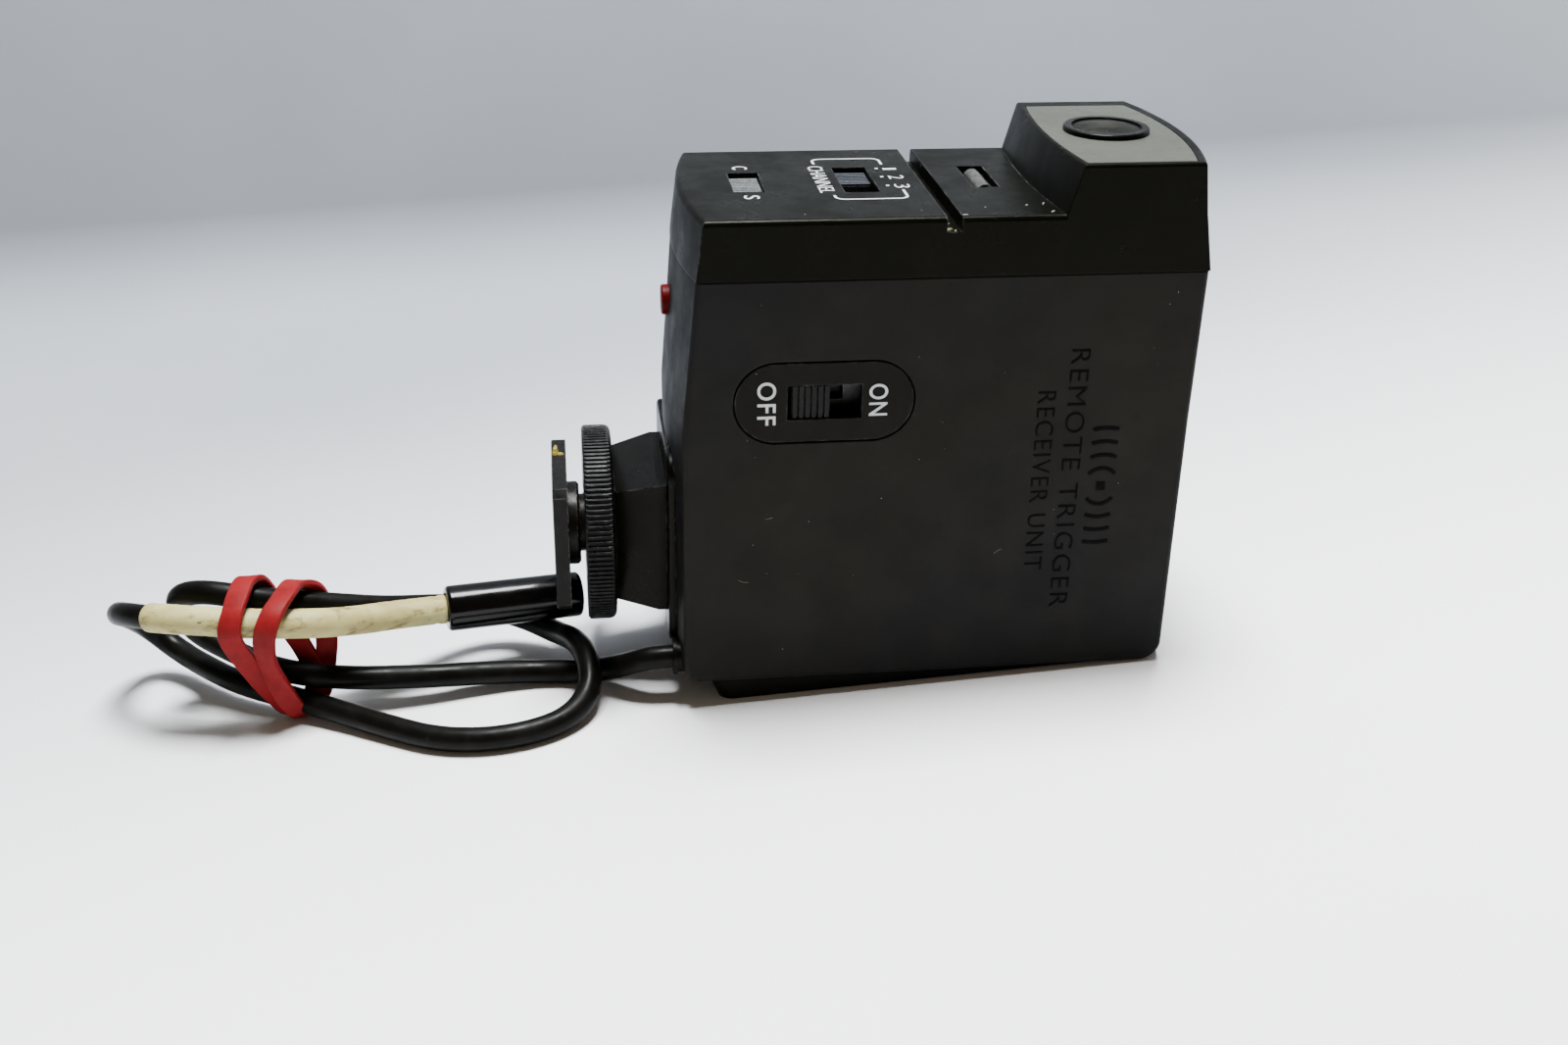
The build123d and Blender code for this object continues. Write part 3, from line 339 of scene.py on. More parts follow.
def cord_jacket():
    """Vinyl jacket: satin black with a slight waviness, long scuffs and dust."""
    s = Shader("cord_black", (0.0020, 0.0019, 0.0015), 0.36, Specular_IOR_Level=0.06)
    s.roughen(s.noise(0.30, 5, 0.6), 0.28, 0.50)
    s.tint(s.ramp(s.noise(0.25, 5, 0.65), 0.48, 0.75, 0.0, 0.6), (0.006, 0.0058, 0.0045))
    s.tint(s.ramp(s.noise(1.2, 3, 0.6), 0.66, 0.74, 0.0, 0.5), (0.016, 0.015, 0.012))
    s.tint(s.math("MULTIPLY", s.dust(1.6, 0.05, 0.10), 0.7), (0.10, 0.09, 0.07))
    s.bump(s.noise(0.35, 3), 0.05)
    s.bump(s.noise(3.5, 2), 0.006)
    return s


def cream_sleeve():
    """Aged cream vinyl with brown stains and pores."""
    s = Shader("sleeve_cream", (0.40, 0.375, 0.165), 0.46, Specular_IOR_Level=0.15)
    s.tint(s.ramp(s.noise(0.16, 5, 0.6, (0.4, 1, 1)), 0.38, 0.66), (0.29, 0.245, 0.095))
    s.tint(s.ramp(s.noise(0.55, 6, 0.68, (0.35, 1, 1)), 0.53, 0.68, 0.0, 0.8), (0.115, 0.078, 0.030))
    s.tint(s.ramp(s.noise(1.3, 5, 0.7, (0.5, 1, 1)), 0.60, 0.70, 0.0, 0.85), (0.050, 0.034, 0.016))
    s.roughen(s.noise(0.8, 4), 0.36, 0.58)
    s.bump(s.noise(0.6, 4), 0.05)
    s.bump(s.noise(3.0, 3), 0.015)
    return s


def red_rubber():
    s = Shader("red_rubber", (0.150, 0.0066, 0.0080), 0.48, Specular_IOR_Level=0.06)
    s.tint(s.ramp(s.noise(0.35, 4), 0.4, 0.75), (0.112, 0.0050, 0.0060))
    s.tint(s.ramp(s.noise(1.8, 4, 0.6), 0.55, 0.72, 0.0, 0.35), (0.19, 0.016, 0.016))
    s.roughen(s.noise(1.0, 4), 0.40, 0.6)
    s.bump(s.noise(2.2, 3, 0.6, (1, 1, 0.35)), 0.02)
    return s


def simple(name, color, roughness, variation, per_mm=0.8, **sockets):
    """Inner pieces: a base colour with mottling and a fine grain."""
    s = Shader(name, color, roughness, **sockets)
    s.soft_edges(0.08)
    s.tint(s.ramp(s.noise(per_mm, 4), 0.4, 0.75), variation)
    s.roughen(s.noise(1.5, 3), roughness - 0.1, roughness + 0.1)
    s.bump(s.noise(3.0, 2), 0.008)
    return s


SLOT_SHADERS = {
    "body_plastic": moulded_black("body_plastic", (0.0054, 0.0053, 0.0046), 0.52, gloss=0.06, wear_and_highlight=0.04),
    "door_plastic": moulded_black("door_plastic", (0.0036, 0.0036, 0.0030), 0.52, gloss=0.05),
    "grey_plate": grey_plate(),
    "ring_plastic": gloss_black("ring_plastic", (0.0020, 0.0020, 0.0017), 0.25, gloss=0.07),
    "filter_lens": filter_lens(),
    "board": simple("board", (0.03, 0.16, 0.06), 0.35, (0.02, 0.11, 0.045)),
    "photodiode": simple("photodiode", (0.02, 0.015, 0.02), 0.12, (0.03, 0.02, 0.03)),
    "tin_plate": plated("tin_plate", (0.62, 0.62, 0.60), 0.30),
    "lamp_lens": lamp_lens(),
    "led": simple("led", (0.30, 0.02, 0.02), 0.25, (0.22, 0.02, 0.02)),
    "white_knob": knob("white_knob", (0.110, 0.120, 0.122), (0.026, 0.029, 0.032)),
    "blue_knob": knob("blue_knob", (0.036, 0.040, 0.048), (0.008, 0.0085, 0.011)),
    "switch_body": simple("switch_body", (0.004, 0.004, 0.004), 0.5, (0.007, 0.007, 0.007)),
    "plate_plastic": moulded_black(
        "plate_plastic", (0.0040, 0.0038, 0.0036), 0.46, gloss=0.045, specks=0.02
    ),
    "black_knob": knob("black_knob", (0.0022, 0.0020, 0.0020), (0.0040, 0.0036, 0.0032), 0.4),
    "components": simple("components", (0.02, 0.02, 0.022), 0.4, (0.05, 0.05, 0.05)),
    "red_button": red_button(),
    "spring_steel": plated("spring_steel", (0.60, 0.60, 0.58), 0.28),
    "screw_steel": plated("screw_steel", (0.20, 0.20, 0.20), 0.35),
    "flange_plastic": moulded_black(
        "flange_plastic", (0.0007, 0.0006, 0.0003), 0.30, gloss=0.05, wear_and_highlight=0.5, specks=0.02
    ),
    # the edge colours below are also painted highlights: on the foot's chamfers and on the ring's ribs
    "foot_metal": worn_highlit_metal("foot_metal", (0.0020, 0.0019, 0.0014), 0.34, (0.16, 0.15, 0.13)),
    "brass": plated("brass", (0.60, 0.42, 0.16), 0.30),
    "ring_rubbery": worn_highlit_metal("ring_rubbery", (0.0009, 0.0010, 0.0011), 0.32, (0.030, 0.030, 0.029)),
    "cell_can": simple("cell_can", (0.10, 0.11, 0.14), 0.3, (0.14, 0.15, 0.18), Metallic=0.6),
    "cord_black": cord_jacket(),
    "sleeve_cream": cream_sleeve(),
    "plug_black": gloss_black("plug_black", (0.0008, 0.0008, 0.0008), 0.10, gloss=0.16),
    "red_rubber": red_rubber(),
}
# The cover and head are a smoother moulding than the case below them.
# the cover's lighter deck edge is a painted highlight as well as wear
NODE_SHADERS = {
    "top_cover": moulded_black(
        "cover_plastic", (0.0011, 0.0012, 0.0005), 0.33, gloss=0.035, wear_and_highlight=0.6, specks=0.02, grain=0.006,
        highlit_and_worn_place=(HIGHLIT_AND_RUBBED_ABOVE, HIGHLIT_AND_RUBBED_LEFT_OF),
    ),
}


def dress_nodes():
    """Give every carried-over node the material of its slot."""
    for row in frame["record"]["subparts"]:
        node = NODES[row["node"]]
        node.data.materials.clear()
        shader = NODE_SHADERS.get(row["node"], SLOT_SHADERS[row["material_slot"]])
        node.data.materials.append(shader.material)


# ------------------------------------------------------------------ pieces


def add_piece(name, data, shader, body):
    piece = bpy.data.objects.new(name, data)
    bpy.context.scene.collection.objects.link(piece)
    piece.data.materials.clear()
    piece.data.materials.append(shader.material)
    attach(piece, body)
    return piece


def mesh_from(name, vertices, faces, smooth=True):
    mesh = bpy.data.meshes.new(name)
    mesh.from_pydata([tuple(v) for v in vertices], [], faces)
    mesh.validate()
    for polygon in mesh.polygons:
        polygon.use_smooth = smooth
    mesh.update()
    return mesh


# ---- cord: the same route as the CAD tube, in millimetres, from the grommet to the plug ----
CORD_DIAMETER = 3.3
CORD_ROUTE = [
    (-28.96, -13.3, 6.4),
    (-31.6, -13.3, 6.55),
    (-34.2, -12.2, 5.4),
    (-37.5, -9.6, 3.4),
    (-41.5, -7.2, 1.8),
    (-46.5, -5.8, 1.7),
    (-54.0, -6.0, 2.5),
    (-64.0, -7.4, 3.8),
    (-75.0, -7.6, 5.0),
    (-83.3, -5.8, 6.3),
    (-89.3, -2.4, 8.1),
    (-94.0, 0.0, 10.2),
    (-95.5, -0.4, 14.2),
    (-94.6, -2.8, 17.6),
    (-91.0, -5.0, 19.0),
    (-85.8, -6.0, 18.2),
    (-80.3, -5.0, 16.2),
    (-73.8, -3.0, 13.9),
    (-67.8, -0.5, 11.4),
    (-61.3, 3.8, 8.7),
    (-55.3, 6.6, 6.4),
    (-49.3, 5.4, 4.4),
    (-44.8, 0.8, 4.0),
    (-42.0, -4.8, 5.7),
    (-40.4, -10.0, 5.5),
    (-40.4, -14.6, 3.2),
    (-43.3, -18.7, 1.8),
    (-48.3, -21.3, 1.7),
    (-54.8, -22.0, 1.7),
    (-61.3, -20.4, 1.7),
    (-67.3, -16.5, 1.7),
    (-74.0, -11.9, 2.0),
    (-81.0, -7.8, 2.7),
    (-88.3, -3.8, 3.3),
    (-93.8, 1.2, 3.7),
    (-98.8, 6.5, 4.2),
    (-102.4, 7.8, 7.6),
    (-104.0, 4.9, 11.2),
    (-104.1, 0.6, 14.0),
    (-101.8, -3.4, 15.8),
    (-96.3, -7.4, 16.7),
    (-90.3, -9.4, 16.8),
    (-84.3, -9.8, 15.9),
    (-78.3, -9.1, 14.8),
    (-72.3, -6.7, 13.1),
    (-65.8, -2.5, 11.2),
    (-59.6, -1.1, 10.6),
]
SLEEVE_JOINS_ROUTE = 40
SLEEVE_START = 0.68
SLEEVE_DIAMETER = 4.1
SLEEVE_RELIEF = 0.05
SLEEVE_STEP = 0.35
SLEEVE_COLLAR = 0.968  # share of the sleeve's length at which its collar starts


def spline_curve(name, route, radius):
    """One open NURBS spline with the route's points, in millimetres, as its control points."""
    curve = bpy.data.curves.new(name, "CURVE")
    curve.dimensions = "3D"
    curve.resolution_u = 10
    curve.bevel_depth = radius * MM
    curve.bevel_resolution = 8
    curve.use_fill_caps = True
    spline = curve.splines.new("NURBS")
    spline.points.add(len(route) - 1)
    for point, place in zip(spline.points, route):
        point.co = (*(c * MM for c in place), 1)
    spline.order_u = 3
    spline.use_endpoint_u = True
    spline.use_smooth = True
    return curve


def line_of(curve):
    """Points along a curve's own line, in metres."""
    bare_and_highlight = curve.copy()
    bare_and_highlight.bevel_depth = 0
    holder = bpy.data.objects.new("line", bare_and_highlight)
    bpy.context.scene.collection.objects.link(holder)
    bpy.context.view_layer.update()
    mesh = bpy.data.meshes.new_from_object(holder.evaluated_get(bpy.context.evaluated_depsgraph_get()))
    points = [v.co.copy() for v in mesh.vertices]
    bpy.data.objects.remove(holder)
    return points


def build_cord():
    curve = spline_curve("release_cord", CORD_ROUTE, CORD_DIAMETER / 2)
    cord = add_piece("release_cord", curve, SLOT_SHADERS["cord_black"], "case")
    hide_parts("cord")
    return cord


def tube_mesh(name, line, radius_at, sides=28):
    """A closed tube round a line of points; radius_at(share of length, turn) is in metres."""
    vertices, faces = [], []
    across = Vector((0, 0, 1))
    last = len(line) - 1
    for i, point in enumerate(line):
        along = (line[min(i + 1, last)] - line[max(i - 1, 0)]).normalized()
        across = (across - along * across.dot(along)).normalized()
        side = along.cross(across)
        for k in range(sides):
            turn = 2 * math.pi * k / sides
            radius = radius_at(i / last, turn)
            vertices.append(point + (across * math.cos(turn) + side * math.sin(turn)) * radius)
    for i in range(last):
        for k in range(sides):
            n = (k + 1) % sides
            faces.append((i * sides + k, i * sides + n, (i + 1) * sides + n, (i + 1) * sides + k))
    faces.append(tuple(reversed(range(sides))))
    faces.append(tuple(last * sides + k for k in range(sides)))
    return mesh_from(name, vertices, faces)


def resampled(line, step):
    """Points at even steps along a line."""
    out = [line[0]]
    carried = 0.0
    for a, b in zip(line, line[1:]):
        length = (b - a).length
        place = step - carried
        while place < length:
            out.append(a.lerp(b, place / length))
            place += step
        carried = length - (place - step)
    if (out[-1] - line[-1]).length > step * 0.3:
        out.append(line[-1])
    else:
        out[-1] = line[-1]
    return out


def sleeve_route():
    first, second = CORD_ROUTE[SLEEVE_JOINS_ROUTE - 1:SLEEVE_JOINS_ROUTE + 1]
    start = tuple(a + (b - a) * SLEEVE_START for a, b in zip(first, second))
    return [start] + CORD_ROUTE[SLEEVE_JOINS_ROUTE:]


def build_sleeve():
    """The cream sleeve: slightly lumpy, with rounded rims and a creased collar at the plug."""
    line = resampled(line_of(spline_curve("sleeve_line", sleeve_route(), 1.0)), SLEEVE_STEP * MM)
    mean = SLEEVE_DIAMETER / 2 - SLEEVE_RELIEF

    def radius_at(share, turn):
        side = Vector((0, math.cos(turn), math.sin(turn)))
        lump = SLEEVE_RELIEF * 0.9 * noise.noise(side + Vector((share * 9, 0, 0)))
        wrinkle = SLEEVE_RELIEF * 0.6 * noise.noise(side * 2 + Vector((share * 60, 0, 0)))
        crease = 0.12 * math.exp(-(((share - SLEEVE_COLLAR + 0.006) / 0.006) ** 2))
        collar = SLEEVE_RELIEF if share > SLEEVE_COLLAR else 0.0
        rim = 0.30 * max(0.0, 1 - min(share, 1 - share) * 90) ** 2
        return (mean + lump + wrinkle + collar - crease - rim) * MM

    mesh = tube_mesh("cream_sleeve", line, radius_at)
    sleeve = add_piece("cream_sleeve", mesh, SLOT_SHADERS["sleeve_cream"], "case")
    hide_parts("cord_sleeve")
    return sleeve


# ---- rubber band: two turns that share their lowest point, in millimetres ----
BAND_WIDTH = 3.0
BAND_THICKNESS = 0.95
BAND_SWAY = 0.18
BAND_STEPS = 10
BAND_FLOOR_GAP = 0.05
BAND_LEFT = [
    ((-83.9, -4.1, 19.5), (0, 0.7, 0.7)),
    ((-84.8, -5.9, 20.3), (0, 0, 1)),
    ((-85.4, -8.6, 19.7), (-0.1, -0.4, 0.9)),
    ((-86.0, -11.2, 18.4), (-0.2, -0.75, 0.6)),
    ((-86.6, -12.25, 16.4), (-0.1, -1, 0.1)),
    ((-86.6, -12.0, 14.4), (0.05, -1, 0)),
    ((-86.0, -11.2, 12.0), (0.15, -1, -0.1)),
    ((-85.1, -10.5, 9.4), (0.1, -1, -0.1)),
    ((-84.2, -9.9, 6.7), (-0.1, -1, -0.1)),
    ((-83.1, -9.4, 4.1), (-0.3, -1, -0.2)),
    ((-82.1, -9.2, 2.0), (-0.4, -0.9, -0.5)),
    ((-80.9, -8.1, 0.65), (-0.2, -0.4, -0.9)),
    ((-79.6, -6.6, 0.95), (0, 0.5, -0.9)),
    ((-78.5, -5.6, 2.4), (0.1, 0.9, -0.3)),
    ((-78.4, -4.6, 5.4), (0.2, 1, 0)),
    ((-79.8, -3.7, 9.3), (0.2, 1, 0)),
    ((-81.8, -3.1, 13.5), (0.1, 1, 0)),
    ((-83.1, -3.1, 17.2), (0, 1, 0.2)),
]
BAND_RIGHT = [
    ((-77.6, -3.0, 17.4), (0, 0.7, 0.7)),
    ((-78.8, -4.9, 18.75), (0, 0, 1)),
    ((-79.6, -8.0, 18.8), (-0.1, -0.3, 0.9)),
    ((-80.9, -11.1, 17.9), (-0.2, -0.75, 0.6)),
    ((-81.9, -12.25, 16.1), (-0.2, -1, 0.1)),
    ((-82.5, -12.2, 14.2), (-0.3, -1, 0)),
    ((-82.7, -11.9, 11.8), (-0.5, -1, 0)),
    ((-82.4, -11.4, 9.1), (-0.45, -1, 0)),
    ((-81.8, -11.0, 6.4), (-0.1, -1, 0)),
    ((-81.1, -10.6, 3.9), (0.2, -1, -0.1)),
    ((-80.3, -9.9, 1.9), (0.3, -0.9, -0.4)),
    ((-79.7, -8.4, 0.65), (0.1, -0.4, -0.9)),
    ((-78.7, -6.7, 0.95), (0, 0.5, -0.9)),
    ((-77.4, -5.5, 2.6), (-0.1, 0.9, -0.3)),
    ((-76.8, -4.5, 5.2), (-0.2, 1, 0)),
    ((-76.1, -3.3, 8.7), (-0.2, 1, 0)),
    ((-76.1, -2.2, 12.6), (-0.1, 1, 0)),
    ((-76.6, -2.1, 15.6), (0, 1, 0.2)),
]


def smooth_loop(values, steps):
    """Vectors along a closed Catmull-Rom curve through the values."""
    out = []
    count = len(values)
    for i in range(count):
        p0, p1, p2, p3 = (Vector(values[(i + k) % count]) for k in (-1, 0, 1, 2))
        for k in range(steps):
            t = k / steps
            point = 2 * p1 + (p2 - p0) * t
            point += (2 * p0 - 5 * p1 + 4 * p2 - p3) * t**2
            point += (3 * p1 - p0 - 3 * p2 + p3) * t**3
            out.append(0.5 * point)
    return out


def band_section(width, thickness, corner=0.28, steps=3):
    """A rounded rectangle, as points across the width and through the thickness."""
    points = []
    for sx, sy, start in ((1, 1, 0), (-1, 1, 90), (-1, -1, 180), (1, -1, 270)):
        middle = (sx * (width / 2 - corner), sy * (thickness / 2 - corner))
        points += arc(middle, corner, start, start + 90, steps)
    return points


def band_turn(name, knots):
    """One closed turn of the flat band; each knot is a place and the way its outside faces."""
    centres = smooth_loop([place for place, _ in knots], BAND_STEPS)
    facings = smooth_loop([facing for _, facing in knots], BAND_STEPS)
    vertices, faces = [], []
    count = len(centres)
    for i, (centre, facing) in enumerate(zip(centres, facings)):
        along = (centres[(i + 1) % count] - centres[i - 1]).normalized()
        across = along.cross(facing).normalized()
        outward = across.cross(along).normalized()
        sway = BAND_SWAY * noise.noise(centre * 0.35)
        # the band is narrower and thicker where the two turns share their lowest point
        squeeze = 0.8 + 0.2 * min(1.0, centre.z / 5)
        section = band_section(BAND_WIDTH * squeeze + sway, BAND_THICKNESS / squeeze**0.5)
        for wide, thick in section:
            vertices.append((centre + across * wide + outward * thick) * MM)
    sides = len(section)
    for i in range(count):
        n = (i + 1) % count
        for k in range(sides):
            m = (k + 1) % sides
            faces.append((i * sides + k, i * sides + m, n * sides + m, n * sides + k))
    mesh = mesh_from(name, vertices, faces)
    for v in mesh.vertices:
        v.co.z = max(v.co.z, BAND_FLOOR_GAP * MM)
    return mesh


def build_band():
    red = SLOT_SHADERS["red_rubber"]
    turns = []
    for side, knots in (("left", BAND_LEFT), ("right", BAND_RIGHT)):
        mesh = band_turn("band_" + side, knots)
        turns.append(add_piece(f"rubber_band_{side}_turn", mesh, red, "case"))
    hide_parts("rubber_band")
    return turns


# ---- lettering ----
DOWN_THE_FACE = (-Z_CASE, X_CASE, -Y_CASE)
ACROSS_THE_DECK = (-Y_CASE, X_CASE, Z_CASE)


def text_mesh(name, words, extrude, bolder, spacing):
    """The words as a flat-backed mesh with its middle at the origin, and its size."""
    text = bpy.data.curves.new(name, "FONT")
    text.body = words
    text.size = 1.0
    text.offset = bolder
    text.extrude = extrude
    text.bevel_depth = 0.0
    text.space_character = spacing
    text.resolution_u = 6
    holder = bpy.data.objects.new(name + "_words", text)
    bpy.context.scene.collection.objects.link(holder)
    bpy.context.view_layer.update()
    mesh = bpy.data.meshes.new_from_object(holder.evaluated_get(bpy.context.evaluated_depsgraph_get()))
    bpy.data.objects.remove(holder)
    xs = [v.co.x for v in mesh.vertices]
    ys = [v.co.y for v in mesh.vertices]
    mesh.transform(Matrix.Translation((-(min(xs) + max(xs)) / 2, -(min(ys) + max(ys)) / 2, 0)))
    return mesh, max(xs) - min(xs), max(ys) - min(ys)


def lettering(name, words, centre, length, height, facing, depth, shader, slot, bolder, spacing=1.0):
    """Words of a given length and height in millimetres, on a face of the case."""
    mesh, wide, tall = text_mesh(name, words, 0.5, bolder, spacing)
    mesh.transform(Matrix.Diagonal((length * MM / wide, height * MM / tall, depth * MM, 1)))
    place_on_face(mesh, centre, facing)
    return add_piece(name, mesh, shader, "case")


def place_on_face(mesh, centre, facing):
    turn = Matrix(facing).transposed().to_4x4()
    mesh.transform(Matrix.Translation(at(*centre)) @ turn)


def ribbon(name, points, width, centre, facing, depth, shader, slot):
    """A painted or moulded line of even width through points on a face, in millimetres."""
    vertices, faces = [], []
    last = len(points) - 1
    for i, (x, y) in enumerate(points):
        ahead, behind = points[min(i + 1, last)], points[max(i - 1, 0)]
        along = Vector((ahead[0] - behind[0], ahead[1] - behind[1])).normalized()
        side = Vector((-along.y, along.x)) * width / 2
        for way in (1, -1):
            for z in (-depth / 2, depth / 2):
                vertices.append(Vector((x + way * side.x, y + way * side.y, z)) * MM)
    for i in range(last):
        a, b = i * 4, i * 4 + 4
        faces += [(a + 1, a + 3, b + 3, b + 1), (a, b, b + 2, a + 2)]
        faces += [(a, a + 1, b + 1, b), (a + 2, b + 2, b + 3, a + 3)]
    faces += [(0, 2, 3, 1), (last * 4, last * 4 + 1, last * 4 + 3, last * 4 + 2)]
    mesh = mesh_from(name, vertices, faces, smooth=False)
    place_on_face(mesh, centre, facing)
    return add_piece(name, mesh, shader, "case")


def arc(centre, radius, start, end, steps=8):
    """Points on a circle from one angle to another, in degrees."""
    angles = [math.radians(start + (end - start) * i / steps) for i in range(steps + 1)]
    return [(centre[0] + radius * math.cos(a), centre[1] + radius * math.sin(a)) for a in angles]


PLATE_FACE_Y = 0.02
CHANNEL_PLACES = (23.3, 19.1, 14.8)
PAINT = {"depth": 0.05, "shader": white_print(), "slot": "white_knob"}


def build_print():
    """White markings on the power plate and the deck."""
    power_words = [("label_off", "OFF", 8.7, 40.4, 5.8), ("label_on", "ON", 23.0, 40.5, 4.3)]
    for name, words, x, z, length in power_words:
        centre = (x, PLATE_FACE_Y, z)
        lettering(name, words, centre, length, 2.4, DOWN_THE_FACE, bolder=0.008, spacing=1.12, **PAINT)
    deck = DECK_HEIGHT
    marks = [
        ("label_c", "C", (7.7, 24.7, deck), 1.6, 2.0, 0.004),
        ("label_s", "S", (7.8, 10.4, deck), 1.6, 2.0, 0.004),
        ("label_channel", "CHANNEL", (17.7, 18.4, deck), 13.0, 2.0, -0.004),
        ("label_1", "1", (27.55, 23.0, deck), 0.8, 1.8, -0.01),
        ("label_2", "2", (27.7, 18.8, deck), 1.7, 2.0, -0.01),
        ("label_3", "3", (27.7, 14.5, deck), 1.7, 2.0, -0.01),
    ]
    for name, words, centre, length, height, bolder in marks:
        lettering(name, words, centre, length, height, ACROSS_THE_DECK, bolder=bolder, **PAINT)
    dash = [(-0.25, 0), (0.25, 0)]
    for i, y in enumerate(CHANNEL_PLACES):
        ribbon(f"channel_dot_{i + 1}", dash, 0.42, (25.85, y, deck), ACROSS_THE_DECK, **PAINT)
    build_bracket(deck)


def build_bracket(deck):
    """The two halves of the frame round the channel switch, open where the words are."""
    centre = (22.4, 18.5, deck)
    line = 0.33
    round_off = 1.2

    def half(name, left, right, far, near_left, near_right):
        """Local x runs to the front of the case and local y to its sensor end."""
        sign = 1 if far > 0 else -1
        points = [(near_left, left)]
        turn = (far - sign * round_off, left + round_off)
        points += arc(turn, round_off, 270, 360) if sign > 0 else arc(turn, round_off, 270, 180)
        turn = (far - sign * round_off, right - round_off)
        points += arc(turn, round_off, 0, 90) if sign > 0 else arc(turn, round_off, 180, 90)
        points.append((near_right, right))
        ribbon(name, points, line, centre, ACROSS_THE_DECK, **PAINT)

    half("bracket_back", -4.6, 4.5, -10.1, -7.5, -6.9)
    half("bracket_front", -4.1, 5.1, 9.8, 7.9, 5.7)


MOULDED = {"depth": 0.16, "shader": lettering_painted_shade(), "slot": "body_plastic"}
WAVES_EACH_SIDE = 4
WAVE_FIRST_RADIUS = 2.2
WAVE_SPACING = 1.9
WAVE_HALF_HEIGHT = 1.75


def build_moulded_lettering():
    """Raised words in the case's own plastic, and a plain signal-wave sign beside them."""
    rows = [
        ("moulded_remote_trigger", "REMOTE TRIGGER", (49.0, 0.0, 27.9), 37.2, 2.5),
        ("moulded_receiver_unit", "RECEIVER UNIT", (45.0, 0.0, 28.0), 25.7, 2.4),
    ]
    for name, words, centre, length, height in rows:
        lettering(name, words, centre, length, height, DOWN_THE_FACE, bolder=-0.01, spacing=1.15, **MOULDED)
    centre = (53.3, 0.0, 27.2)
    for side in (-1, 1):
        for i in range(WAVES_EACH_SIDE):
            radius = WAVE_FIRST_RADIUS + i * WAVE_SPACING
            middle = 0 if side > 0 else 180
            spread = math.degrees(math.asin(min(0.8, WAVE_HALF_HEIGHT / radius)))
            points = arc((side * 0.4, 0), radius, middle - spread, middle + spread, 12)
            name = f"moulded_wave_{'right' if side > 0 else 'left'}_{i + 1}"
            ribbon(name, points, 0.5, centre, DOWN_THE_FACE, **MOULDED)
    ribbon("moulded_wave_dot", [(-0.6, 0), (0.6, 0)], 1.2, centre, DOWN_THE_FACE, **MOULDED)


# ---- dirt: crumbs, chips and hairs stuck to the faces ----
FRONT = (X_CASE, Z_CASE, -Y_CASE)
DECK = (X_CASE, Y_CASE, Z_CASE)
FOOT_TOP = 25.65
CRUMB_KINDS = {
    "pale": simple("pale_crumbs", (0.20, 0.20, 0.17), 0.7, (0.10, 0.10, 0.085), 3.0),
    "gold": simple("gold_crumbs", (0.10, 0.085, 0.035), 0.6, (0.05, 0.045, 0.025), 3.0),
    "yellow": simple("yellow_residue", (0.22, 0.17, 0.015), 0.5, (0.13, 0.10, 0.01), 2.0),
    "orange": simple("orange_speck", (0.16, 0.045, 0.015), 0.5, (0.10, 0.03, 0.01), 3.0),
}


def crumb(rng, place, facing, long, wide, turn):
    """An irregular flattened lump lying on a face, as vertices and faces."""
    right, up, out = facing
    corners = 7
    middle = at(*place)
    rim, crown = [], []
    for k in range(corners):
        angle = 2 * math.pi * k / corners + turn
        reach = 0.75 + 0.5 * rng.random()
        x, y = long / 2 * reach * math.cos(angle - turn), wide / 2 * reach * math.sin(angle - turn)
        x, y = x * math.cos(turn) - y * math.sin(turn), x * math.sin(turn) + y * math.cos(turn)
        rim.append(middle + (right * x + up * y) * MM)
        crown.append(middle + (right * x * 0.6 + up * y * 0.6 + out * wide * 0.35) * MM)
    faces = [(k, (k + 1) % corners, corners + (k + 1) % corners, corners + k) for k in range(corners)]
    faces.append(tuple(range(corners, 2 * corners)))
    return rim + crown, faces


def add_crumbs(name, kind, rows, seed):
    rng = random.Random(seed)
    vertices, faces = [], []
    for place, facing, long, wide, turn in rows:
        more, sides = crumb(rng, place, facing, long, wide, math.radians(turn))
        faces += [tuple(k + len(vertices) for k in side) for side in sides]
        vertices += more
    mesh = mesh_from(name, vertices, faces, smooth=False)
    add_piece(name, mesh, CRUMB_KINDS[kind], "case")


def hair(name, kind, start, facing, length, turn, curl, radius=0.035):
    """A curled fibre lying on a face."""
    right, up, out = facing
    angle = math.radians(turn)
    x = y = 0.0
    line = []
    steps = 12
    for _ in range(steps + 1):
        line.append(at(*start) + (right * x + up * y + out * (radius + 0.02)) * MM)
        x += math.cos(angle) * length / steps
        y += math.sin(angle) * length / steps
        angle += math.radians(curl) / steps
    mesh = tube_mesh(name, line, lambda share, turn: radius * MM * (1.0 if 0.05 < share < 0.95 else 0.5), 6)
    add_piece(name, mesh, CRUMB_KINDS[kind], "case")


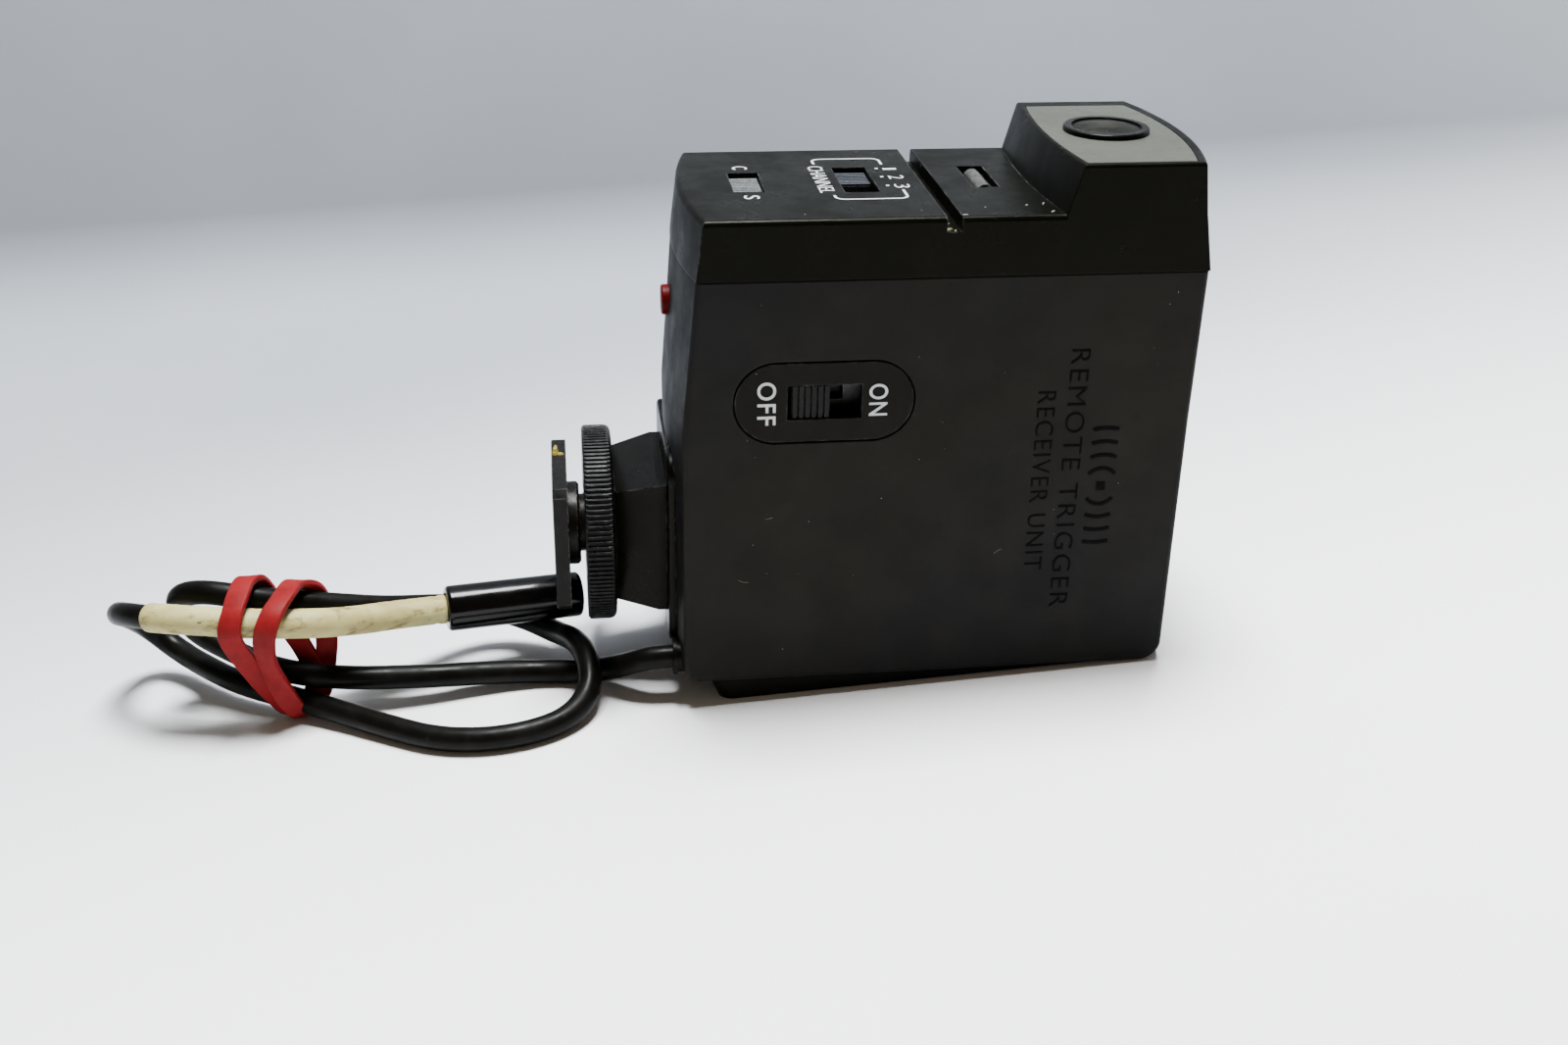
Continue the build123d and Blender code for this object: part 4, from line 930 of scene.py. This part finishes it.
def build_dirt():
    deck, face = DECK_HEIGHT, 0.0
    add_crumbs("deck_chips", "pale", [
        ((43.9, 5.2, deck), DECK, 0.9, 0.22, 62), ((44.2, 1.6, deck), DECK, 0.7, 0.20, 40),
        ((41.6, 4.6, deck), DECK, 0.35, 0.15, 10), ((46.4, 1.4, deck), DECK, 0.5, 0.22, 20),
        ((33.0, 0.9, deck), DECK, 0.7, 0.18, 5), ((13.4, 2.4, deck), DECK, 0.2, 0.15, 0),
        ((36.2, 4.0, deck), DECK, 0.25, 0.15, 30), ((28.0, 3.2, deck), DECK, 0.18, 0.14, 0),
    ], 3)
    add_crumbs("groove_debris", "gold", [
        ((31.2, 1.1, deck - 1.9), DECK, 0.9, 0.45, 20), ((31.8, 0.5, deck - 1.9), DECK, 0.6, 0.35, 70),
        ((30.9, 2.4, deck - 1.9), DECK, 0.5, 0.25, 95), ((31.6, 3.6, deck - 1.9), DECK, 0.35, 0.2, 30),
    ], 5)
    add_crumbs("foot_residue", "yellow", [
        ((-18.1, 21.5, FOOT_TOP), DECK, 0.9, 1.5, 0), ((-18.2, 20.3, FOOT_TOP), DECK, 0.6, 1.0, 20),
        ((-17.5, 20.4, FOOT_TOP), DECK, 1.1, 0.6, 0), ((-18.0, 22.7, FOOT_TOP), DECK, 0.5, 0.9, 0),
    ], 17)
    add_crumbs("deck_orange_speck", "orange", [((24.6, 32.2, deck), DECK, 0.35, 0.28, 0)], 7)
    rng = random.Random(11)
    specks = []
    for _ in range(26):
        place = (rng.uniform(2, 61), face, rng.uniform(4, 54))
        size = rng.uniform(0.07, 0.15)
        specks.append((place, FRONT, size, size * 0.8, rng.uniform(0, 90)))
    add_crumbs("front_dust", "pale", specks, 13)
    hair("front_hair_low", "gold", (5.2, face, 15.6), FRONT, 1.5, -35, 40)
    hair("front_hair_middle", "pale", (39.5, face, 17.8), FRONT, 1.3, 50, -30, 0.025)
    hair("front_hair_left", "pale", (8.6, face, 24.3), FRONT, 1.1, 5, 15, 0.02)


# ------------------------------------------------------------------ studio


def see_through(paper):
    """Let a camera behind the sheet look through it."""
    sides = paper.add("ShaderNodeNewGeometry")
    clear = paper.add("ShaderNodeBsdfTransparent")
    mix = paper.add("ShaderNodeMixShader")
    paper.link(sides.outputs["Backfacing"], mix.inputs["Fac"])
    paper.link(paper.shader.outputs["BSDF"], mix.inputs[1])
    paper.link(clear.outputs["BSDF"], mix.inputs[2])
    paper.link(mix.outputs["Shader"], paper.tree.nodes["Material Output"].inputs["Surface"])


def build_floor():
    """A pale sheet that runs back from the front and rises behind the object."""
    half_width, front, bend, rise = 1.6, -1.2, 0.16, 1.3
    radius = 0.02
    profile = [(front, 0.0), (bend, 0.0)]
    for angle in (0.4, 0.8, 1.2, math.pi / 2):
        profile.append((bend + radius * math.sin(angle), radius * (1 - math.cos(angle))))
    profile.append((bend + radius, rise))
    vertices = [Vector((x, y, z)) for y, z in profile for x in (-half_width, half_width)]
    faces = [(2 * i, 2 * i + 1, 2 * i + 3, 2 * i + 2) for i in range(len(profile) - 1)]
    paper = Shader("studio_paper", (0.95, 0.95, 0.955), 0.7, Specular_IOR_Level=0.1)
    # painted shade: the paper darkens towards the back and the left, as the lamp's light falls off
    split = paper.add("ShaderNodeSeparateXYZ")
    paper.link(paper.place, split.inputs["Vector"])
    slant = paper.math("MULTIPLY", split.outputs["X"], 0.35)
    distance = paper.math("SUBTRACT", split.outputs["Y"], slant)
    paper.tint(paper.ramp(distance, -0.08, 0.15), (0.27, 0.29, 0.32))
    paper.tint(paper.ramp(paper.noise(0.006, 4), 0.45, 0.75, 0.0, 0.12), (0.60, 0.60, 0.60))
    paper.bump(paper.noise(1.2, 3), 0.01)
    see_through(paper)
    floor = bpy.data.objects.new("studio_floor", mesh_from("studio_floor", vertices, faces))
    floor.data.materials.append(paper.material)
    bpy.context.scene.collection.objects.link(floor)


def area_light(name, place, target, size, power, color):
    data = bpy.data.lights.new(name, "AREA")
    data.shape = "RECTANGLE"
    data.size, data.size_y = size
    data.energy = power
    data.color = color
    lamp = bpy.data.objects.new(name, data)
    lamp.location = place
    lamp.rotation_euler = (Vector(target) - Vector(place)).to_track_quat("-Z", "Y").to_euler()
    bpy.context.scene.collection.objects.link(lamp)


def build_lights():
    area_light("key", (0.04, 0.13, 0.70), (-0.01, -0.01, 0.0), (0.24, 0.36), 37.0, (0.98, 0.99, 1.0))
    world = bpy.data.worlds.new("studio")
    world.use_nodes = True
    world.node_tree.nodes["Background"].inputs["Color"].default_value = (1.0, 0.82, 0.62, 1)
    world.node_tree.nodes["Background"].inputs["Strength"].default_value = 0.185
    bpy.context.scene.world = world


CAMERA_PLACE = (-0.0347, -0.2211, 0.1285)
CAMERA_YAW = 6.01
CAMERA_PITCH = 26.34
CAMERA_ROLL = -2.80
CAMERA_LENS = 40.38


def build_camera():
    data = bpy.data.cameras.new("camera")
    data.lens = CAMERA_LENS
    data.sensor_width = 36
    data.clip_start = 0.005
    camera = bpy.data.objects.new("camera", data)
    yaw, pitch, roll = (math.radians(a) for a in (CAMERA_YAW, CAMERA_PITCH, CAMERA_ROLL))
    turn = Matrix.Rotation(-yaw, 4, "Z") @ Matrix.Rotation(math.pi / 2 - pitch, 4, "X")
    turn = turn @ Matrix.Rotation(roll, 4, "Z")
    camera.matrix_world = Matrix.Translation(CAMERA_PLACE) @ turn
    bpy.context.scene.collection.objects.link(camera)
    bpy.context.scene.camera = camera


dress_nodes()
release_cord = build_cord()
sleeve = build_sleeve()
band = build_band()
build_print()
build_moulded_lettering()
build_dirt()
build_floor()
build_lights()
build_camera()
